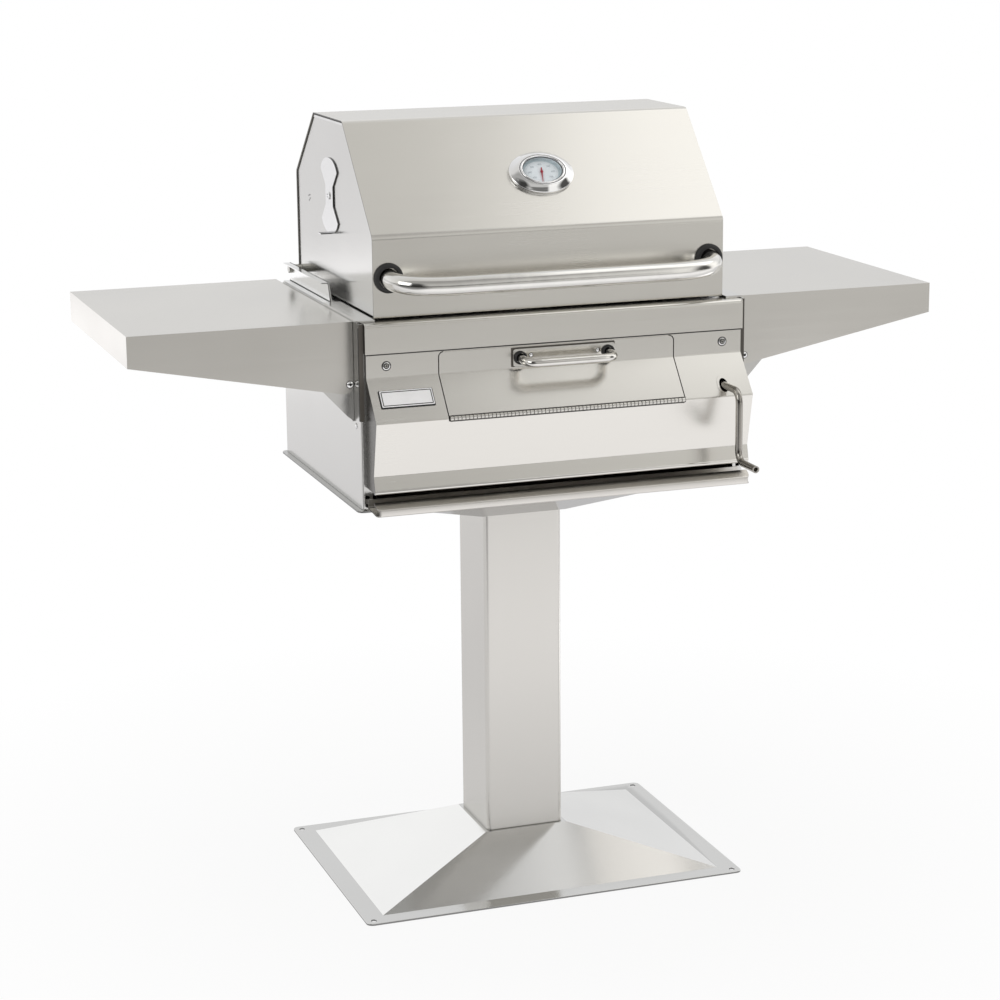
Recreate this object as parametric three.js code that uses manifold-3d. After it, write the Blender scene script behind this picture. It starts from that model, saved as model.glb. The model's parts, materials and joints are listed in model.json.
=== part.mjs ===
// A stainless-steel charcoal grill on a pedestal post, as separate pieces.
// Sizes are in millimetres, +X to the user's right, -Y towards the user, +Z up.
// Every place is measured from the post's axis at floor level, and the last lines
// move the whole grill so that the origin is the middle of its footprint.
import * as THREE from 'three';
import { mergeVertices } from 'three/addons/utils/BufferGeometryUtils.js';
import { ConvexGeometry } from 'three/addons/geometries/ConvexGeometry.js';
import Module from 'manifold-3d';

const wasm = await Module();
wasm.setup();

// Fineness and clearances
const weldDistance = 1e-4;
const tidyDistance = 0.01;
const tubeSides = 12;
const rodSides = 8;
const gridRodSides = 6;
const ringSides = 16;
const bezelSides = 28;
const bendSteps = 3;
const arcSteps = 2;
const curveSteps = 5;
const barSides = 10;
const handleSteps = 34;
const crankSteps = 33;
const seatGap = 0.3;
const overrun = 6;
const skim = 1;

// Sizes that the rest follows
const boxWidth = 605;
const boxDepth = 426;
const boxBottom = 647;
const boxHeight = 274;
const postSize = 127;
const shelfLength = 330;

// Sheet metal
const sheet = 1.5;
const bend = 3;

// Pedestal
const plateOverhangX = 7.5;
const plateOverhangY = 7;
const footCorner = 10;
const footSheet = 3;
const footRim = 22;
const footRise = 65;
const footLanding = 5;
const anchorRadius = 5;
const anchorInset = 13;
const postWall = 3;
const postCorner = 8;

// Firebox
const frontReturn = 16;
const backReturn = 14;
const ledgeWidth = 44;
const floorFlange = 13;
const returnSlotWidth = 6;
const returnSlotHeight = 5;
const returnSlotRises = [6, 18];
const innerFrontRise = 43;

// Front panel: distances in front of the firebox, drops from its top and rises from its foot
const panelInset = 8;
const panelProud = 6;
const panelDrop = 1.5;
const panelBendDrop = 80;
const ridgeProud = 53;
const ridgeDrop = 137;
const lowerBendProud = 35;
const lowerBendRise = 56;
const hemProud = 41;
const hemRise = 32;
const hemReturn = 8;
const hemReturnDrop = 3;
const trimDepth = 44;
const trimProud = 3;
const trimRoll = 6;
const trimReach = 40;
const trimLip = 9;

// Charcoal door
const doorWidthShare = 0.625;
const doorDrop = 48;
const doorCorner = 7;
const doorGap = 1.5;
const doorStop = 8;
const hingeRadius = 3.2;
const hingePinRadius = 1.4;
const hingeBoreRadius = 1.75;
const hingeClear = 4.2;
const hingeLeaf = 1.2;
const hingeLeafReach = 18;
const knuckleCount = 17;
const knuckleGap = 0.6;

// Door handle
const doorHandleSpan = 138;
const doorHandleShiftShare = 0.0245;
const doorHandleRadius = 6.5;
const doorHandleReach = 38;
const doorHandleBend = 16;
const doorHandleSag = 3;
const handlePlateMargin = 11;
const handlePlateHeight = 26;
const handlePlateThickness = 3;
const handlePlateCorner = 4;
const handlePlateDrop = 64;
const doorGrommetRadius = 10;
const doorGrommetThickness = 5;

// Inner firebox: liners, ledges and cooking grids
const linerInset = 72.5;
const linerClear = 4;
const gridSeatDrop = 25;
const gridLedge = 25;
const gridLap = 32;
const gridEndInset = 17;
const gridRodRadius = 3;
const gridFrameRadius = 4;
const gridRodPitch = 20;
const gridMiddleGap = 3;

// Charcoal tray
const trayClearX = 8;
const trayClearY = 43;
const trayFloorShare = 0.383;
const trayDepth = 48;
const trayWall = 2;
const traySlotWidth = 9;
const traySlotPitch = 27;
const traySlotMargin = 20;
const traySlotRows = 2;
const trayPinRise = 16;
const trayPinRadius = 4;
const traySlotPlay = 0.4;

// Lift: a screw pulls two cam plates forward, and their inclined slots raise the tray
const liftShare = 0.292;
const camClear = 1;
const camThickness = 3;
const camMargin = 14;
const camEndGap = 5.7;
const camBarHeight = 40;
const camBarDrop = 30;
const camStudRise = 26;
const camStudRadius = 4;
const camStudInset = 15;
const camStudGap = 30;
const camHoleRadius = 15;
const pinEnd = 3.5;
const crossbarDepth = 20;
const crossbarHeight = 10;
const nutWidth = 26;
const nutLength = 34;
const nutHeight = 26;
const nutSetback = 46;

// Crank and screw
const crankInset = 50.5;
const crankDrop = 122;
const crankRadius = 5.5;
const crankReach = 97;
const crankThrow = 105;
const crankGrip = 61;
const crankBend = 20;
const crankBore = 2.6;
const spigotRadius = 2.35;
const spigotGap = 0.3;
const screwRadius = 6;
const screwCollar = 9;
const screwCollarLength = 5;
const screwSocket = 16;
const bushWall = 3;
const bushFlange = 4;
const bushFlangeThickness = 2.2;
const bushDepth = 9;
const runningGap = 0.3;
const crankSlotWidth = 17;
const crankSlotHeight = 25;

// Ash drawer
const drawerClearX = 22.5;
const drawerClearY = 23;
const drawerFloorRise = 2;
const drawerWallRise = 28;
const drawerFrontWallRise = 15;
const drawerLipProud = 49;
const drawerLipDip = 2;
const drawerLipRise = 9;
const drawerCrestProud = 33;
const drawerCrestRise = 17;
const drawerFrontCorner = 10;

// Hood: heights are above the firebox
const hoodInsetX = 28;
const hoodInsetY = 18;
const hoodGap = 2.5;
const hoodFrontRise = 120.5;
const hoodRise = 274;
const hoodSlopeRun = 143;
const hoodBackRun = 108;
const hoodBackRise = 175;
const hoodBackGap = 7;
const hoodHem = 10;
const hoodLip = 2;

// Hood handle
const hoodHandleInset = 23.5;
const hoodHandleRise = 61;
const hoodHandleRadius = 14;
const hoodHandleReach = 56;
const hoodHandleBend = 40;
const hoodHandleSag = 8;
const hoodGrommetRadius = 22;
const hoodGrommetThickness = 7;
const grommetGroove = 2;

// Hood hinge
const hingeInset = 9;
const hingeRise = 21;
const hingeBoltRadius = 4;
const hingeHoleGap = 0.4;
const hingeHead = 6.5;
const hingeHeadThickness = 4;
const hingeSleeve = 7;
const bracketInset = 14.5;
const bracketLength = 223;
const bracketToe = 16;
const bracketRise = 30;
const bracketFlange = 12;

// Side dampers
const damperInset = 187;
const damperRise = 156;
const damperHalfHeight = 57;
const lobeHalfWidth = 44;
const lobeHeight = 38;
const waistHalfWidth = 19.5;
const waistHalfHeight = 15;
const damperClear = 0.6;
const damperTabWidth = 16;
const damperTabReach = 18;
const ventRadius = 13;
const ventPlace = 37;
const pivotRadius = 2.5;
const pivotHead = 6;
const pivotHeadThickness = 2.4;

// Thermometer: oval, set square to the sloping front of the hood
const dialPlaceShare = 0.464;
const dialShiftShare = 0.0132;
const dialOvalShare = 0.74;
const bezelRadius = 51.5;
const bezelRise = 13;
const bezelFoot = 3;
const bezelShoulderShare = 0.75;
const bezelInner = 34.2;
const bezelSeat = 37;
const dialThickness = 3;
const lensHeight = 9.2;
const lensThickness = 1.8;
const needleHeight = 5.6;
const needleThickness = 1;
const needleLength = 23;
const needleTail = 8;
const needleHalfWidth = 1.6;
const needleHub = 3.2;
const spindleRadius = 1;
const stemRadius = 3.5;
const stemLength = 60;
const stemNut = 9;
const stemNutThickness = 5;

// Side shelves
const shelfDrop = 1;
const shelfGap = 0.5;
const shelfFrontInset = 30;
const shelfBackReach = 36;
const shelfOuterDepth = 46;
const shelfInnerDepth = 106;
const shelfShoulder = 16;
const shelfFlangeDepth = 60;
const gussetReach = 46;
const gussetDrop = 15;
const gussetDepth = 147;
const gussetKneeDrop = 98;
const gussetToe = 7.5;
const gussetSheet = 2.5;
const gussetLeg = 42;
const gussetShelfGap = 0.6;
const gussetBackInset = 8;

// Finishes
const brushedSteel = { color: 0xb9b7b1, roughness: 0.42, metalness: 0.9 };
const polishedSteel = { color: 0xc9c8c4, roughness: 0.2, metalness: 1 };
const chrome = { color: 0xd6d6d6, roughness: 0.08, metalness: 1 };
const heatSteel = { color: 0x8f8a82, roughness: 0.5, metalness: 0.85 };
const darkSteel = { color: 0x6b6864, roughness: 0.5, metalness: 0.9 };
const brass = { color: 0xb08d4a, roughness: 0.4, metalness: 0.9 };
const blackRubber = { color: 0x1b1b1b, roughness: 0.7, metalness: 0 };
const dialWhite = { color: 0xeef1f3, roughness: 0.5, metalness: 0 };
const needleRed = { color: 0xb3202c, roughness: 0.5, metalness: 0 };
const clearGlass = { color: 0xe8f0f2, roughness: 0.05, metalness: 0 };

// Places that follow from the sizes above
const boxTop = boxBottom + boxHeight;
const boxFront = -boxDepth / 2;
const boxBack = boxDepth / 2;
const boxSide = boxWidth / 2;
const boxInside = boxSide - sheet;
const plateHalf = boxSide - bend;
const innerFrontFace = boxFront + sheet + seatGap;
const innerBackFace = boxBack - sheet - seatGap;
const innerFrontBottom = boxBottom + innerFrontRise;
const footWidth = boxWidth + 2 * plateOverhangX;
const footDepth = boxDepth + 2 * plateOverhangY;
const topPlateRim = boxBottom - seatGap;

const panelHalf = boxSide - panelInset;
const panelTop = boxTop - sheet - panelDrop;
const panelFace = boxFront - panelProud;
const panelBend = boxTop - panelBendDrop;
const ridgeFace = boxFront - ridgeProud;
const ridgeHeight = boxTop - ridgeDrop;
const lowerBendFace = boxFront - lowerBendProud;
const lowerBendHeight = boxBottom + lowerBendRise;
const hemFace = boxFront - hemProud;
const hemHeight = boxBottom + hemRise;
const trimFace = panelFace - trimProud;
const trimBottom = boxTop - trimDepth;
const trimHalf = panelHalf + seatGap + sheet;
const doorWidth = 2 * panelHalf * doorWidthShare;
const doorTop = boxTop - doorDrop;
const handlePlateWidth = doorHandleSpan + 2 * handlePlateMargin;
const handlePlateMiddle = boxTop - handlePlateDrop;
const doorHandlePlace = doorWidth * doorHandleShiftShare;

const linerFace = boxSide - linerInset;
const gridSeat = boxTop - gridSeatDrop;
const gridHalfWidth = linerFace + gridLap;
const gridHalfDepth = boxBack - gridEndInset;
const trayHalfWidth = linerFace - trayClearX;
const trayHalfDepth = boxBack - trayClearY;
const trayFloor = boxBottom + boxHeight * trayFloorShare;
const trayPinHeight = trayFloor + trayPinRise;
const liftTravel = boxHeight * liftShare;
const trayPinPlace = innerBackFace - camEndGap - camMargin - liftTravel;

const camInner = linerFace + sheet + camClear;
const camOuter = camInner + camThickness;
const camBarTop = trayPinHeight - camBarDrop;
const camBarBottom = camBarTop - camBarHeight;
const linerBottom = camBarBottom + crossbarHeight + linerClear;
const camStudHeight = camBarBottom + camStudRise;
const camStudFront = -trayPinPlace + camStudInset;
const camStudPlaces = [camStudFront, camStudFront + liftTravel + camStudGap];
const crossbarPlace = camStudFront + liftTravel + camStudGap;
const nutPlace = trayPinPlace - nutSetback;
const crankPlace = boxSide - crankInset;
const crankHeight = boxTop - crankDrop;
const crankFront = boxFront - crankReach;
const crankEnd = crankFront - crankGrip;

const drawerHalfWidth = boxSide - drawerClearX;
const drawerFloor = boxBottom + drawerFloorRise;
const drawerBack = boxBack - drawerClearY;
const drawerWallTop = boxBottom + drawerWallRise;
const drawerFrontWallTop = boxBottom + drawerFrontWallRise;
const drawerLipFace = boxFront - drawerLipProud;

const hoodSide = boxSide - hoodInsetX;
const hoodPanelFace = hoodSide - hoodLip;
const hoodFront = boxFront + hoodInsetY;
const hoodBottom = boxTop + hoodGap;
const hoodMidFront = boxTop + hoodFrontRise;
const hoodTop = boxTop + hoodRise;
const hoodHandleHalf = hoodSide - hoodHandleInset;
const hoodHandleHeight = boxTop + hoodHandleRise;
const hingePlace = boxBack - hingeInset;
const hingeHeight = boxTop + hingeRise;
const bracketFace = boxSide - bracketInset;
const bracketFront = boxBack - bracketLength;
const bracketFoot = bracketFront - bracketToe;
const bracketTop = boxTop + bracketRise;
const damperPlace = boxBack - damperInset;
const damperHeight = boxTop + damperRise;

const shelfTop = boxTop - shelfDrop;
const shelfInner = boxSide + shelfGap;
const shelfReach = shelfInner + shelfLength;
const shelfFront = boxFront + shelfFrontInset;
const shelfBack = boxBack + shelfBackReach;

// Solids from three.js geometry
function solid(geometry) {
  const bare = geometry.clone();
  bare.deleteAttribute('normal');
  bare.deleteAttribute('uv');
  const merged = mergeVertices(bare, weldDistance);
  const places = merged.attributes.position.array;
  const corners = trianglesOf(merged);
  if (signedVolume(places, corners) < 0) {
    corners.reverse();
  }
  const mesh = new wasm.Mesh({
    numProp: 3,
    vertProperties: Float32Array.from(places),
    triVerts: Uint32Array.from(corners),
  });
  return new wasm.Manifold(mesh);
}

// Leaves out triangles that shrink to a line at the axis of a turned shape
function trianglesOf(geometry) {
  const index = Array.from(geometry.index.array);
  const corners = [];
  for (let i = 0; i < index.length; i += 3) {
    const [a, b, c] = index.slice(i, i + 3);
    if (a !== b && b !== c && c !== a) {
      corners.push(a, b, c);
    }
  }
  return corners;
}

function signedVolume(places, corners) {
  const [a, b, c] = [new THREE.Vector3(), new THREE.Vector3(), new THREE.Vector3()];
  let total = 0;
  for (let i = 0; i < corners.length; i += 3) {
    a.fromArray(places, corners[i] * 3);
    b.fromArray(places, corners[i + 1] * 3);
    c.fromArray(places, corners[i + 2] * 3);
    total += a.dot(b.cross(c));
  }
  return total;
}

// Edges shorter than the tidy distance, left where flat faces met, are taken out first
function geometryOf(body) {
  const mesh = body.asOriginal().simplify(tidyDistance).getMesh();
  const geometry = new THREE.BufferGeometry();
  geometry.setAttribute('position', new THREE.BufferAttribute(Float32Array.from(mesh.vertProperties), 3));
  geometry.setIndex(Array.from(mesh.triVerts));
  geometry.computeVertexNormals();
  return geometry;
}

function joined(bodies) {
  return bodies.reduce((whole, next) => whole.add(next));
}

function cut(body, tools) {
  return tools.reduce((rest, tool) => rest.subtract(tool), body);
}

function mirrored(body) {
  return solid(geometryOf(body).scale(-1, 1, 1));
}

// Outlines
function outline(points) {
  return new THREE.Shape(points.map(([a, b]) => new THREE.Vector2(a, b)));
}

function roundedRectangle(width, height, radius) {
  const [w, h] = [width / 2, height / 2];
  const shape = new THREE.Shape();
  shape.moveTo(-w + radius, -h);
  shape.absarc(w - radius, -h + radius, radius, -Math.PI / 2, 0);
  shape.absarc(w - radius, h - radius, radius, 0, Math.PI / 2);
  shape.absarc(-w + radius, h - radius, radius, Math.PI / 2, Math.PI);
  shape.absarc(-w + radius, -h + radius, radius, Math.PI, Math.PI * 3 / 2);
  return shape;
}

// A line whose corners are arcs of the bend's outer radius
function roundedLine(points, radius) {
  const line = [points[0]];
  for (let i = 1; i < points.length - 1; i += 1) {
    const corner = new THREE.Vector2(...points[i]);
    const back = new THREE.Vector2(...points[i - 1]).sub(corner);
    const ahead = new THREE.Vector2(...points[i + 1]).sub(corner);
    const shorter = Math.min(back.length(), ahead.length());
    back.normalize();
    ahead.normalize();
    const half = Math.acos(THREE.MathUtils.clamp(back.dot(ahead), -1, 1)) / 2;
    const reach = Math.min(radius / Math.tan(half), shorter / 2);
    const fitted = reach * Math.tan(half);
    const middle = back.clone().add(ahead).normalize().multiplyScalar(fitted / Math.sin(half)).add(corner);
    const start = back.clone().multiplyScalar(reach).add(corner).sub(middle);
    const turn = (Math.PI - 2 * half) * Math.sign(ahead.cross(back));
    for (let step = 0; step <= bendSteps; step += 1) {
      const spoke = start.clone().rotateAround(new THREE.Vector2(), turn * step / bendSteps);
      line.push([middle.x + spoke.x, middle.y + spoke.y]);
    }
  }
  line.push(points[points.length - 1]);
  return line;
}

// The same line moved to its left by a distance, with mitred corners
function offsetLine(points, distance) {
  return points.map((point, i) => {
    const here = new THREE.Vector2(...point);
    const before = i > 0 ? here.clone().sub(new THREE.Vector2(...points[i - 1])).normalize() : null;
    const after = i < points.length - 1 ? new THREE.Vector2(...points[i + 1]).sub(here).normalize() : null;
    const first = before ?? after;
    const second = after ?? before;
    const left = new THREE.Vector2(-first.y - second.y, first.x + second.x).normalize();
    const stretch = distance / left.dot(new THREE.Vector2(-second.y, second.x));
    return [here.x + left.x * stretch, here.y + left.y * stretch];
  });
}

// The section of a bent sheet whose outer face follows the points
function bentSheet(points, thickness, side = 1, radius = bend) {
  const outer = roundedLine(points, radius);
  const inner = offsetLine(outer, side * thickness);
  return outline([...outer, ...inner.reverse()]);
}

// Solids extruded between two places along an axis
function extruded(shape, depth, steps = arcSteps) {
  return new THREE.ExtrudeGeometry(shape, { depth, bevelEnabled: false, curveSegments: steps });
}

const acrossX = new THREE.Matrix4().makeBasis(
  new THREE.Vector3(0, 1, 0), new THREE.Vector3(0, 0, 1), new THREE.Vector3(1, 0, 0));
const acrossY = new THREE.Matrix4().makeBasis(
  new THREE.Vector3(1, 0, 0), new THREE.Vector3(0, 0, 1), new THREE.Vector3(0, -1, 0));

function alongX(shape, from, to, steps) {
  return solid(extruded(shape, to - from, steps).translate(0, 0, from).applyMatrix4(acrossX));
}

function alongY(shape, from, to, steps) {
  return solid(extruded(shape, to - from, steps).translate(0, 0, -to).applyMatrix4(acrossY));
}

function alongZ(shape, from, to) {
  return solid(extruded(shape, to - from).translate(0, 0, from));
}

function block(x0, x1, y0, y1, z0, z1) {
  const geometry = new THREE.BoxGeometry(x1 - x0, y1 - y0, z1 - z0);
  return solid(geometry.translate((x0 + x1) / 2, (y0 + y1) / 2, (z0 + z1) / 2));
}

// Round bars along an axis, between two places on it
function roundX(radius, x0, x1, y, z, sides = tubeSides) {
  const bar = new THREE.CylinderGeometry(radius, radius, x1 - x0, sides);
  return solid(bar.rotateZ(Math.PI / 2).translate((x0 + x1) / 2, y, z));
}

function roundY(radius, x, y0, y1, z, sides = tubeSides) {
  const bar = new THREE.CylinderGeometry(radius, radius, y1 - y0, sides);
  return solid(bar.translate(x, (y0 + y1) / 2, z));
}

function roundZ(radius, x, y, z0, z1, sides = tubeSides) {
  const bar = new THREE.CylinderGeometry(radius, radius, z1 - z0, sides);
  return solid(bar.rotateX(Math.PI / 2).translate(x, y, (z0 + z1) / 2));
}

// A turned shape about an axis, its profile given as radius and distance along the axis
function turned(profile, sides = ringSides) {
  return new THREE.LatheGeometry(profile.map(([r, h]) => new THREE.Vector2(r, h)), sides);
}

function turnedAlongX(profile, y, z, sides) {
  return solid(turned(profile, sides).rotateZ(-Math.PI / 2).translate(0, y, z));
}

function turnedAlongY(profile, x, z, sides) {
  return solid(turned(profile, sides).translate(x, 0, z));
}

// A round bar along a line with arcs at its corners
function bentBar(points, radius, bendRadius, steps, sides = tubeSides) {
  const path = new THREE.CurvePath();
  let from = points[0];
  for (let i = 1; i < points.length - 1; i += 1) {
    const back = points[i - 1].clone().sub(points[i]).setLength(bendRadius).add(points[i]);
    const ahead = points[i + 1].clone().sub(points[i]).setLength(bendRadius).add(points[i]);
    path.add(new THREE.LineCurve3(from, back));
    path.add(new THREE.QuadraticBezierCurve3(back, points[i], ahead));
    from = ahead;
  }
  path.add(new THREE.LineCurve3(from, points[points.length - 1]));
  const section = new THREE.Shape();
  section.absarc(0, 0, radius, 0, Math.PI * 2);
  const geometry = new THREE.ExtrudeGeometry(section, {
    steps, extrudePath: path, bevelEnabled: false, curveSegments: sides / 2,
  });
  return solid(geometry);
}

// A tube handle with two legs cut flat at its foot, its bar a little lower than the feet
function footedHandle({ radius, foot, out, half, high, droop, bendRadius, sides }) {
  const slope = droop / (foot - out);
  const start = foot + overrun;
  const startHeight = high + slope * overrun;
  const bar = bentBar([
    new THREE.Vector3(-half, start, startHeight),
    new THREE.Vector3(-half, out, high - droop),
    new THREE.Vector3(half, out, high - droop),
    new THREE.Vector3(half, start, startHeight),
  ], radius, bendRadius, handleSteps, sides);
  const width = half + radius + overrun;
  const spare = block(-width, width, foot, start + radius + overrun, startHeight - bendRadius - radius,
    startHeight + bendRadius + radius);
  return bar.subtract(spare);
}

// A disc with a rounded rim that stands on the plane y = foot
function grommetRing(radius, thickness, foot, x, z) {
  const profile = [
    [0, foot],
    [0, foot - thickness],
    [radius - grommetGroove, foot - thickness],
    [radius, foot - thickness + grommetGroove],
    [radius, foot],
    [0, foot],
  ];
  return turnedAlongY(profile, x, z, ringSides);
}

// Pedestal
function frustum(bottomWidth, bottomDepth, topWidth, bottomZ, topZ) {
  const corners = [];
  for (const sx of [-1, 1]) {
    for (const sy of [-1, 1]) {
      corners.push(new THREE.Vector3(sx * bottomWidth / 2, sy * bottomDepth / 2, bottomZ));
      corners.push(new THREE.Vector3(sx * topWidth / 2, sy * topWidth / 2, topZ));
    }
  }
  return solid(new ConvexGeometry(corners));
}

function pyramidPlate() {
  const width = footWidth - 2 * footRim;
  const depth = footDepth - 2 * footRim;
  const landing = postSize + 2 * footLanding;
  const rim = alongZ(roundedRectangle(footWidth, footDepth, footCorner), 0, footSheet);
  const hill = frustum(width, depth, landing, 0, footRise);
  const inset = 2 * footSheet;
  const hollow = frustum(width - inset, depth - inset, landing - inset, -footSheet, footRise - footSheet);
  const holes = [];
  for (const sx of [-1, 1]) {
    for (const sy of [-1, 1]) {
      const x = sx * (footWidth / 2 - anchorInset);
      const y = sy * (footDepth / 2 - anchorInset);
      holes.push(roundZ(anchorRadius, x, y, -overrun, footSheet + overrun, rodSides));
    }
  }
  return cut(rim.add(hill), [hollow, ...holes]);
}

function topPlate() {
  const turnedOver = geometryOf(pyramidPlate()).rotateX(Math.PI).translate(0, 0, topPlateRim);
  return solid(turnedOver);
}

function post() {
  const shape = roundedRectangle(postSize, postSize, postCorner);
  const inside = postSize - 2 * postWall;
  shape.holes.push(roundedRectangle(inside, inside, postCorner - postWall));
  return alongZ(shape, footRise + seatGap, topPlateRim - footRise - seatGap);
}

// Firebox shell
function fireboxSide() {
  const plan = bentSheet([
    [boxSide - frontReturn, boxFront],
    [boxSide, boxFront],
    [boxSide, boxBack],
    [boxSide - backReturn, boxBack],
  ], sheet);
  const wall = alongZ(plan, boxBottom, boxTop);
  const ledgeFront = trimFace + trimReach + seatGap;
  const ledge = block(boxSide - ledgeWidth, boxInside, ledgeFront, innerBackFace, boxTop - sheet, boxTop);
  const weld = block(boxInside - overrun / 2, boxSide - sheet / 2, ledgeFront, innerBackFace, boxTop - sheet, boxTop);
  const notch = block(boxSide - frontReturn - overrun, trimHalf + seatGap, boxFront - overrun, ledgeFront,
    boxTop - sheet - seatGap, boxTop + overrun);
  const slots = returnSlotRises.map((rise) => block(
    boxSide - frontReturn / 2 - returnSlotWidth / 2, boxSide - frontReturn / 2 + returnSlotWidth / 2,
    boxFront - overrun, boxFront + overrun,
    boxBottom + rise - returnSlotHeight / 2, boxBottom + rise + returnSlotHeight / 2));
  return cut(joined([wall, ledge, weld]), [notch, ...slots]);
}

function fireboxFloor() {
  const half = plateHalf;
  const section = bentSheet([
    [-half, boxBottom + floorFlange],
    [-half, boxBottom],
    [half, boxBottom],
    [half, boxBottom + floorFlange],
  ], sheet);
  return alongY(section, innerFrontFace, innerBackFace - sheet - seatGap);
}

function fireboxBack() {
  const half = plateHalf;
  const wall = block(-half, half, innerBackFace - sheet, innerBackFace, boxBottom, boxTop - sheet - seatGap);
  const bore = screwRadius + runningGap + bushWall + seatGap;
  const hole = roundY(bore, crankPlace, innerBackFace - overrun, innerBackFace + overrun, crankHeight, ringSides);
  return wall.subtract(hole);
}

function fireboxFront() {
  const half = plateHalf;
  const inner = innerFrontFace + sheet;
  const wall = block(-half, half, innerFrontFace, inner, innerFrontBottom, gridSeat);
  const shelf = block(-linerFace + seatGap, linerFace - seatGap, innerFrontFace, inner + gridLedge,
    gridSeat - sheet, gridSeat);
  const openingHalf = doorWidth / 2 - doorStop;
  const opening = block(-openingHalf, openingHalf, innerFrontFace - overrun, inner + overrun,
    trayFloor + trayWall, gridSeat - gridLedge);
  const bore = screwRadius + runningGap + bushWall + seatGap;
  const hole = roundY(bore, crankPlace, innerFrontFace - overrun, inner + overrun, crankHeight, ringSides);
  return cut(wall.add(shelf), [opening, hole]);
}

// Front panel, trim and door share one bent outline
const panelLine = [
  [panelFace, panelTop],
  [panelFace, panelBend],
  [ridgeFace, ridgeHeight],
  [lowerBendFace, lowerBendHeight],
  [hemFace, hemHeight],
  [hemFace + hemReturn, hemHeight - hemReturnDrop],
];

function panelSheet() {
  return alongX(bentSheet(panelLine, sheet), -panelHalf, panelHalf);
}

// The part of space that the door takes out of the panel, grown by a margin
function doorRegion(margin) {
  const half = doorWidth / 2 + margin;
  const shape = new THREE.Shape();
  const top = doorTop + margin;
  const corner = doorCorner + margin;
  shape.moveTo(-half, ridgeHeight);
  shape.lineTo(half, ridgeHeight);
  shape.lineTo(half, top - corner);
  shape.absarc(half - corner, top - corner, corner, 0, Math.PI / 2);
  shape.lineTo(-half + corner, top);
  shape.absarc(-half + corner, top - corner, corner, Math.PI / 2, Math.PI);
  return alongY(shape, ridgeFace - overrun, boxFront + overrun);
}

function hingeChannel(half) {
  return roundX(hingeClear, -half, half, ridgeFace, ridgeHeight, ringSides);
}

function frontPanel() {
  const ends = outline([
    ...roundedLine(panelLine, bend).slice(0, -1),
    [boxFront - seatGap, hemHeight],
    [boxFront - seatGap, panelTop],
  ]);
  const gate = doorRegion(doorGap);
  const slope = (panelFace - ridgeFace) / (panelBend - ridgeHeight);
  const slotMiddle = ridgeFace + slope * (crankHeight - ridgeHeight);
  const slot = alongY(roundedRectangle(crankSlotWidth, crankSlotHeight, crankSlotWidth / 2 - weldDistance),
    slotMiddle - ridgeProud, boxFront).translate(crankPlace, 0, crankHeight);
  const stopFace = panelFace + sheet;
  const stop = block(-doorWidth / 2 + doorCorner, doorWidth / 2 - doorCorner, stopFace, stopFace + sheet,
    doorTop - doorStop, doorTop + doorStop);
  const body = joined([
    panelSheet(),
    alongX(ends, -panelHalf, -panelHalf + sheet),
    alongX(ends, panelHalf - sheet, panelHalf),
  ]);
  return cut(body, [gate, slot, hingeChannel(doorWidth / 2 + doorGap)]).add(stop);
}

function frontTrim() {
  const section = bentSheet([
    [trimFace, trimBottom],
    [trimFace, boxTop],
    [trimFace + trimReach, boxTop],
    [trimFace + trimReach, boxTop - trimLip],
  ], sheet, -1, trimRoll);
  const end = outline([
    ...roundedLine([[trimFace, trimBottom], [trimFace, boxTop], [boxFront - seatGap, boxTop]], trimRoll),
    [boxFront - seatGap, trimBottom],
  ]);
  return joined([
    alongX(section, -trimHalf, trimHalf),
    alongX(end, -trimHalf, -trimHalf + sheet),
    alongX(end, trimHalf - sheet, trimHalf),
  ]);
}

function charcoalDoor() {
  const skin = panelSheet().intersect(doorRegion(0));
  return skin.subtract(hingeChannel(panelHalf));
}

// Piano hinge on the ridge: knuckles of the two leaves take turns along the pin
function knuckles(parity) {
  const pitch = doorWidth / knuckleCount;
  const spans = [];
  for (let i = parity; i < knuckleCount; i += 2) {
    const from = -doorWidth / 2 + i * pitch;
    spans.push([from + knuckleGap / 2, from + pitch - knuckleGap / 2]);
  }
  return spans;
}

// One leaf lies inside the sheet that rises or falls from the ridge to the next bend
function hingeLeafBody(target, parity) {
  const ridge = new THREE.Vector2(ridgeFace, ridgeHeight);
  const along = new THREE.Vector2(...target).sub(ridge).normalize();
  const inward = new THREE.Vector2(-along.y, along.x).multiplyScalar(along.y > 0 ? -1 : 1);
  const depth = sheet + seatGap;
  const at = (distance, level) => {
    const point = ridge.clone().addScaledVector(along, distance).addScaledVector(inward, level);
    return [point.x, point.y];
  };
  const strip = (from, to) => outline([
    at(from, depth), at(to, depth), at(to, depth + hingeLeaf), at(from, depth + hingeLeaf)]);
  const half = doorWidth / 2;
  const bodies = [alongX(strip(hingeClear, hingeLeafReach), -half, half)];
  for (const [from, to] of knuckles(parity)) {
    bodies.push(alongX(strip(0, hingeClear + hingeLeaf), from, to));
    bodies.push(roundX(hingeRadius, from, to, ridgeFace, ridgeHeight, rodSides));
  }
  const bore = roundX(hingeBoreRadius, -half - overrun, half + overrun, ridgeFace, ridgeHeight, rodSides);
  return joined(bodies).subtract(bore);
}

function movingLeaf() {
  return hingeLeafBody([panelFace, panelBend], 1);
}

function fixedLeaf() {
  return hingeLeafBody([lowerBendFace, lowerBendHeight], 0);
}

function hingePin() {
  return roundX(hingePinRadius, -doorWidth / 2, doorWidth / 2, ridgeFace, ridgeHeight, rodSides);
}

// Door handle
function doorHandlePlate() {
  const shape = roundedRectangle(handlePlateWidth, handlePlateHeight, handlePlateCorner);
  const face = panelFace - seatGap;
  return alongY(shape, face - handlePlateThickness, face).translate(doorHandlePlace, 0, handlePlateMiddle);
}

const doorHandleFoot = panelFace - 2 * seatGap - handlePlateThickness;

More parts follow.
